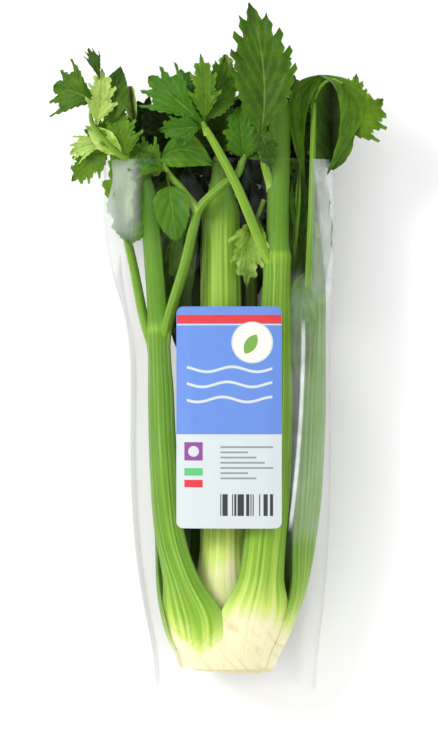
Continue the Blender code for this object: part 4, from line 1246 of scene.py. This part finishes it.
class CeleryStalkSettings(bpy.types.PropertyGroup):
    rib: amount("Rib height", "Scales the strings' height", 0.62, min=0.0)
    station: amount("Station", "Step between rings in millimetres", 3.0)
    gloss: amount("Roughness", "Roughness of the skin", 0.36)
    outer_share: amount("Outer share", "Share of the map that is the stalk's outer side", 0.74)
    deep: paint("Deep green", "Greenest skin", linear(60, 100, 18))
    green: paint("Green", "Skin of the outer stalks", linear(98, 142, 34))
    light: paint("Light green", "Skin of the lower stalks", linear(136, 178, 52))
    pale: paint("Pale", "Blanched skin above the butt", linear(200, 222, 104))
    cream: paint("Cream", "Skin at the butt", linear(238, 230, 190))
    # Painted shade in the furrows between ribs and at the stalks' edges.
    furrow_shade: paint("Furrow", "Darkens the furrows", (0.42, 0.55, 0.30))
    string: paint("String", "Pale strings on the ribs", linear(196, 218, 122))
    # Painted shade: the colour that darkens stalks deep in the head.
    depth: paint("Depth", "Darkens stalks deep in the head", (0.07, 0.11, 0.035))
    butt: paint("Butt", "Cut root end", linear(234, 222, 178))
    butt_scar: paint("Scar", "Tan scars of the butt", linear(198, 172, 126))


class CeleryLeafSettings(bpy.types.PropertyGroup):
    thickness: amount("Thickness", "Blade thickness in millimetres", 0.4)
    fold: amount("Fold", "Scales the rise of the sides", 1.0)
    quilt: amount("Quilt", "Rise between side veins", 0.02)
    slant: amount("Slant", "How far side veins point forward", 0.30)
    veins: amount("Veins", "Side veins on each side of a leaflet", 6.0)
    gloss: amount("Roughness", "Roughness of the blade", 0.45)
    seed: IntProperty(name="Seed", description="Seed of the blades' waves", default=7)
    wave: amount("Wave", "Height of waves as a share of length", 0.05)
    dark: paint("Dark", "Oldest leaves", linear(34, 66, 10))
    green: paint("Green", "Most leaves", linear(72, 110, 16))
    fresh: paint("Fresh", "Young leaves", linear(106, 144, 28))
    pale: paint("Pale", "Palest leaves", linear(172, 200, 100))
    cool: paint("Cool", "Leaves of a bluer green", linear(58, 112, 22))
    vein: paint("Vein", "Midrib and veins", linear(136, 166, 66))
    pleat: paint("Pleat", "Darkens the dips", (0.45, 0.55, 0.35))
    # Painted shade: the colour that darkens leaves deep in the head and low in the crown.
    depth: paint("Depth", "Darkens leaves deep in the head", (0.035, 0.06, 0.022))


class CelerySleeveSettings(bpy.types.PropertyGroup):
    wall: amount("Wall", "Film thickness in millimetres", 0.15)
    wrinkle: amount("Wrinkles", "Height of folds in millimetres", 1.1)
    station: amount("Station", "Step between rings in millimetres", 2.5)
    haze_and_sheen: amount("Haze", "How milky clear film is", 0.0)
    # Where the painted highlight along the pressed fold lies.
    fold_highlight_x: amount("Streak", "X of the pressed fold's top", 42.6)
    fold_highlight_top: amount("Streak top", "Y of the fold's top", 29.0)
    fold_highlight_bend: amount("Streak bend", "Bend of the fold", 0.00055)
    # The colour of the painted sheen and highlights, and of the film's own hazing.
    tint: paint("Tint", "Colour of milky film", linear(236, 242, 240))


class CeleryLabelSettings(bpy.types.PropertyGroup):
    corner: amount("Corner", "Corner radius in millimetres", 4.0)
    gap: amount("Gap", "Height over the film in millimetres", 0.6)
    thickness: amount("Thickness", "Paper thickness", 0.35)
    split_y: amount("Split", "Where the blue field ends", -34.8)
    blue: paint("Blue", "Upper field", linear(92, 130, 204))
    white: paint("White", "Lower field", linear(196, 204, 206))
    red: paint("Red", "Band and block", linear(204, 40, 48))
    cream: paint("Cream", "Disc", linear(246, 240, 214))
    leaf: paint("Leaf", "Leaf on the disc", linear(110, 158, 60))
    purple: paint("Purple", "Block", linear(132, 60, 140))
    green: paint("Green", "Block", linear(80, 180, 110))
    grey: paint("Grey", "Thin bars", linear(132, 138, 146))
    ink: paint("Ink", "Dark bars", linear(40, 42, 46))


class CeleryStageSettings(bpy.types.PropertyGroup):
    distance: amount("Camera distance", "From the view's plane", 2.5, unit="LENGTH")
    plane: amount("View plane", "Height seen at true scale", 0.060, unit="LENGTH")
    view_height: amount("View height", "Seen along Y", 0.4512, unit="LENGTH")
    centre_x: amount("View centre", "X in the middle of the view", -0.0078)
    floor: paint("Floor", "Pale floor", linear(252, 252, 252))
    sky: amount("Sky", "Strength of the even light", 0.985)
    key: amount("Key", "Power of the soft box in watts", 19.0)
    fill: amount("Fill", "Power of the second soft box in watts", 3.0)


# The butt: how wide it is along Y as a share of the head there, with a shallow lobe below each stalk.
BUTT_TOP_Y = -161.0
BUTT_PROFILE = (
    (CUT_Y, 0.76), (CUT_Y + 1.0, 0.81), (CUT_Y + 2.2, 0.84), (-172.0, 0.88), (BUTT_TOP_Y, 0.84),
)
BUTT_POINTS = 144
BUTT_LOBES = 6
BUTT_TURN = math.radians(96.0)


# Operators: one for each group of pieces and one for the stage

class CeleryAddButt(bpy.types.Operator):
    """Add the cut root end"""

    bl_idname = "celery.add_butt"
    bl_label = "Add Butt"

    def execute(self, context):
        settings = context.scene.celery_stalks
        centre_x, half_width, half_height = head_at(BASE_Y)
        rings = []
        for y in [CUT_Y, CUT_Y + 0.4, *spread(CUT_Y + 1.0, BUTT_TOP_Y, 1.0)]:
            share = between(BUTT_PROFILE, y)[0]
            ring = []
            for k in range(BUTT_POINTS):
                angle = 2 * math.pi * k / BUTT_POINTS
                lobe = 0.5 + 0.5 * math.cos(BUTT_LOBES * (angle - BUTT_TURN))
                turn = Vector((math.cos(angle), math.sin(angle), 0.0))
                rough = noise.fractal(turn * 4.0 + Vector((0, 0, y * 0.12)), 1.0, 2.0, 4)
                reach = share * (1 - 0.03 * lobe + 0.03 * rough)
                x = centre_x + reach * half_width * turn.x
                near_cut = max(0.0, 1 - (y - CUT_Y) / 5.0)
                slope = 2.4 * (1 - share_of((x + 26.0) / 34.0))
                shift = near_cut * (slope + 0.6 * noise.noise(turn * 2.0))
                ring.append((x, max(CUT_Y, y + shift), HEAD_CENTRE_Z + reach * half_height * turn.y))
            rings.append(ring)
        add_piece("root_end", skin(rings, {}), butt_finish(settings), ["butt"])
        return {"FINISHED"}


class CeleryAddStalks(bpy.types.Operator):
    """Add the ribbed stalks with their joints and branches"""

    bl_idname = "celery.add_stalks"
    bl_label = "Add Stalks"

    def execute(self, context):
        settings = context.scene.celery_stalks
        material = stalk_finish(settings)
        for stalk in STALKS:
            parts = [stalk_skin(stalk, settings)]
            for points, root, end in stalk["branches"]:
                parts.append(stem_skin(points, root, end, 1.2, 0.44 + stalk["tone"], 0.0, settings))
            add_piece("ribbed_" + stalk["name"], gather(parts), material, [stalk["name"]])
        return {"FINISHED"}


class CeleryAddLeaves(bpy.types.Operator):
    """Add the leaf sprays, each with its stem and toothed leaflets"""

    bl_idname = "celery.add_leaves"
    bl_label = "Add Leaves"

    def execute(self, context):
        settings = context.scene.celery_leaves
        stalks = context.scene.celery_stalks
        blade_material = leaf_finish(settings)
        stem_material = bpy.data.materials["stalk_skin"]
        rng = random.Random(settings.seed)
        for name, stem, radii, flare, leaflets in SPRAYS:
            leaflets += HIDDEN_LEAFLETS.get(name, ())
            leaflets += tuple(crown_leaflet(stem, rng) for _ in range(CROWN_LEAFLETS.get(name, 0)))
            blades = [blade_skin(leaflet, settings, rng) for leaflet in leaflets]
            add_piece("blades_of_" + name, gather(blades), blade_material, [name])
            root = Vector(stem[0]) - (Vector(stem[1]) - Vector(stem[0])).normalized() * 5.0
            # Painted shade on a stem that starts deep in the head.
            shade = 0.8 * head_depth(*stem[0])
            stems = [stem_skin((tuple(root), *stem), *radii, flare * 0.5, 0.4, shade, stalks)]
            add_piece("stem_of_" + name, gather(stems), stem_material, [name])
        return {"FINISHED"}


class CeleryAddSleeve(bpy.types.Operator):
    """Add the clear film sleeve"""

    bl_idname = "celery.add_sleeve"
    bl_label = "Add Sleeve"

    def execute(self, context):
        settings = context.scene.celery_sleeve
        parts = [film_skin(settings), side_seam(settings)]
        add_piece("clear_sleeve", gather(parts), film_finish(settings), ["sleeve"])
        return {"FINISHED"}


class CeleryAddLabel(bpy.types.Operator):
    """Add the printed paper label"""

    bl_idname = "celery.add_label"
    bl_label = "Add Label"

    def execute(self, context):
        settings = context.scene.celery_label
        left, right = LABEL_LOW.x / MM, LABEL_HIGH.x / MM
        low, high = LABEL_LOW.y / MM, LABEL_HIGH.y / MM
        bm = bmesh.new()
        bmesh.ops.create_grid(bm, x_segments=1, y_segments=1, size=0.5)
        for vert in bm.verts:
            vert.co.x = left + (vert.co.x + 0.5) * (right - left)
            vert.co.y = low + (vert.co.y + 0.5) * (high - low)
        bmesh.ops.bevel(
            bm, geom=bm.verts[:], offset=settings.corner, offset_type="OFFSET", segments=8,
            profile=0.5, affect="VERTICES", material=-1,
        )
        cuts = [((x, 0, 0), (1, 0, 0)) for x in spread(left, right, 1.6)[1:-1]]
        cuts += [((0, y, 0), (0, 1, 0)) for y in spread(low, high, 3.0)[1:-1]]
        for point, normal in cuts:
            parts = bm.verts[:] + bm.edges[:] + bm.faces[:]
            bmesh.ops.bisect_plane(bm, geom=parts, plane_co=point, plane_no=normal)
        for vert in bm.verts:
            x, y = vert.co.x, vert.co.y
            ripple = 0.15 * noise.noise((x * 0.05, y * 0.04, 3.0))
            vert.co.z = film_top(x, y) + settings.gap + ripple
        if sum(face.normal.z for face in face_outwards(bm).faces) < 0:
            bmesh.ops.reverse_faces(bm, faces=bm.faces)
        thicken(bm, -settings.thickness)
        add_piece("paper_label", bm, label_finish(settings), ["label"])
        return {"FINISHED"}


class CeleryAddStage(bpy.types.Operator):
    """Add the floor, the soft lights and the camera that looks straight down"""

    bl_idname = "celery.add_stage"
    bl_label = "Add Stage"

    def execute(self, context):
        settings = context.scene.celery_stage
        scene = context.scene
        scene.view_settings.view_transform = "Standard"
        bm = bmesh.new()
        bmesh.ops.create_grid(bm, x_segments=8, y_segments=8, size=20.0)
        bmesh.ops.translate(bm, vec=(0.0, 0.0, -0.0004), verts=bm.verts)
        mesh = mesh_from("floor", bm)
        finish = Finish("pale_floor", 0.9, 0.1)
        finish.colour(settings.floor)
        mesh.materials.append(finish.material)
        floor = put("floor", mesh)

        world = bpy.data.worlds.new("studio")
        world.use_nodes = True
        background = world.node_tree.nodes["Background"]
        background.inputs["Color"].default_value = (1.0, 1.0, 1.0, 1.0)
        background.inputs["Strength"].default_value = settings.sky
        scene.world = world

        boxes = (
            ("key", settings.key, 0.7, (-1.15, 0.75, 1.15)),
            ("fill", settings.fill, 1.2, (1.1, -0.8, 1.0)),
        )
        for name, power, side, place in boxes:
            light = bpy.data.lights.new(name, "AREA")
            light.energy = power
            light.shape = "SQUARE"
            light.size = side
            lamp = put(name, light)
            lamp.location = place
            lamp.rotation_euler = (-Vector(place)).to_track_quat("-Z", "Y").to_euler()

        camera = bpy.data.cameras.new("camera")
        camera.sensor_width = 36.0
        camera.lens = camera.sensor_width * settings.distance / settings.view_height
        camera.clip_end = 100.0
        eye = put("camera", camera)
        eye.location = (settings.centre_x, 0.0, settings.plane + settings.distance)
        scene.camera = eye
        return {"FINISHED"}


STEPS = (
    CeleryAddButt, CeleryAddStalks, CeleryAddLeaves, CeleryAddSleeve, CeleryAddLabel, CeleryAddStage,
)


class CeleryPanel(bpy.types.Panel):
    """Lists the steps in the 3D view's sidebar"""

    bl_idname = "VIEW3D_PT_celery"
    bl_label = "Sleeved Celery"
    bl_space_type = "VIEW_3D"
    bl_region_type = "UI"
    bl_category = "Celery"

    def draw(self, context):
        for step in STEPS:
            self.layout.operator(step.bl_idname)


SETTINGS = {
    "celery_stalks": CeleryStalkSettings,
    "celery_leaves": CeleryLeafSettings,
    "celery_sleeve": CelerySleeveSettings,
    "celery_label": CeleryLabelSettings,
    "celery_stage": CeleryStageSettings,
}


def register():
    for group in (*SETTINGS.values(), *STEPS, CeleryPanel):
        bpy.utils.register_class(group)
    for name, group in SETTINGS.items():
        setattr(bpy.types.Scene, name, PointerProperty(type=group))


def unregister():
    for name in SETTINGS:
        delattr(bpy.types.Scene, name)
    for group in reversed((*SETTINGS.values(), *STEPS, CeleryPanel)):
        bpy.utils.unregister_class(group)


def main():
    register()
    bpy.ops.celery.add_butt()
    bpy.ops.celery.add_stalks()
    bpy.ops.celery.add_leaves()
    bpy.ops.celery.add_sleeve()
    bpy.ops.celery.add_label()
    bpy.ops.celery.add_stage()


if __name__ == "__main__":
    main()
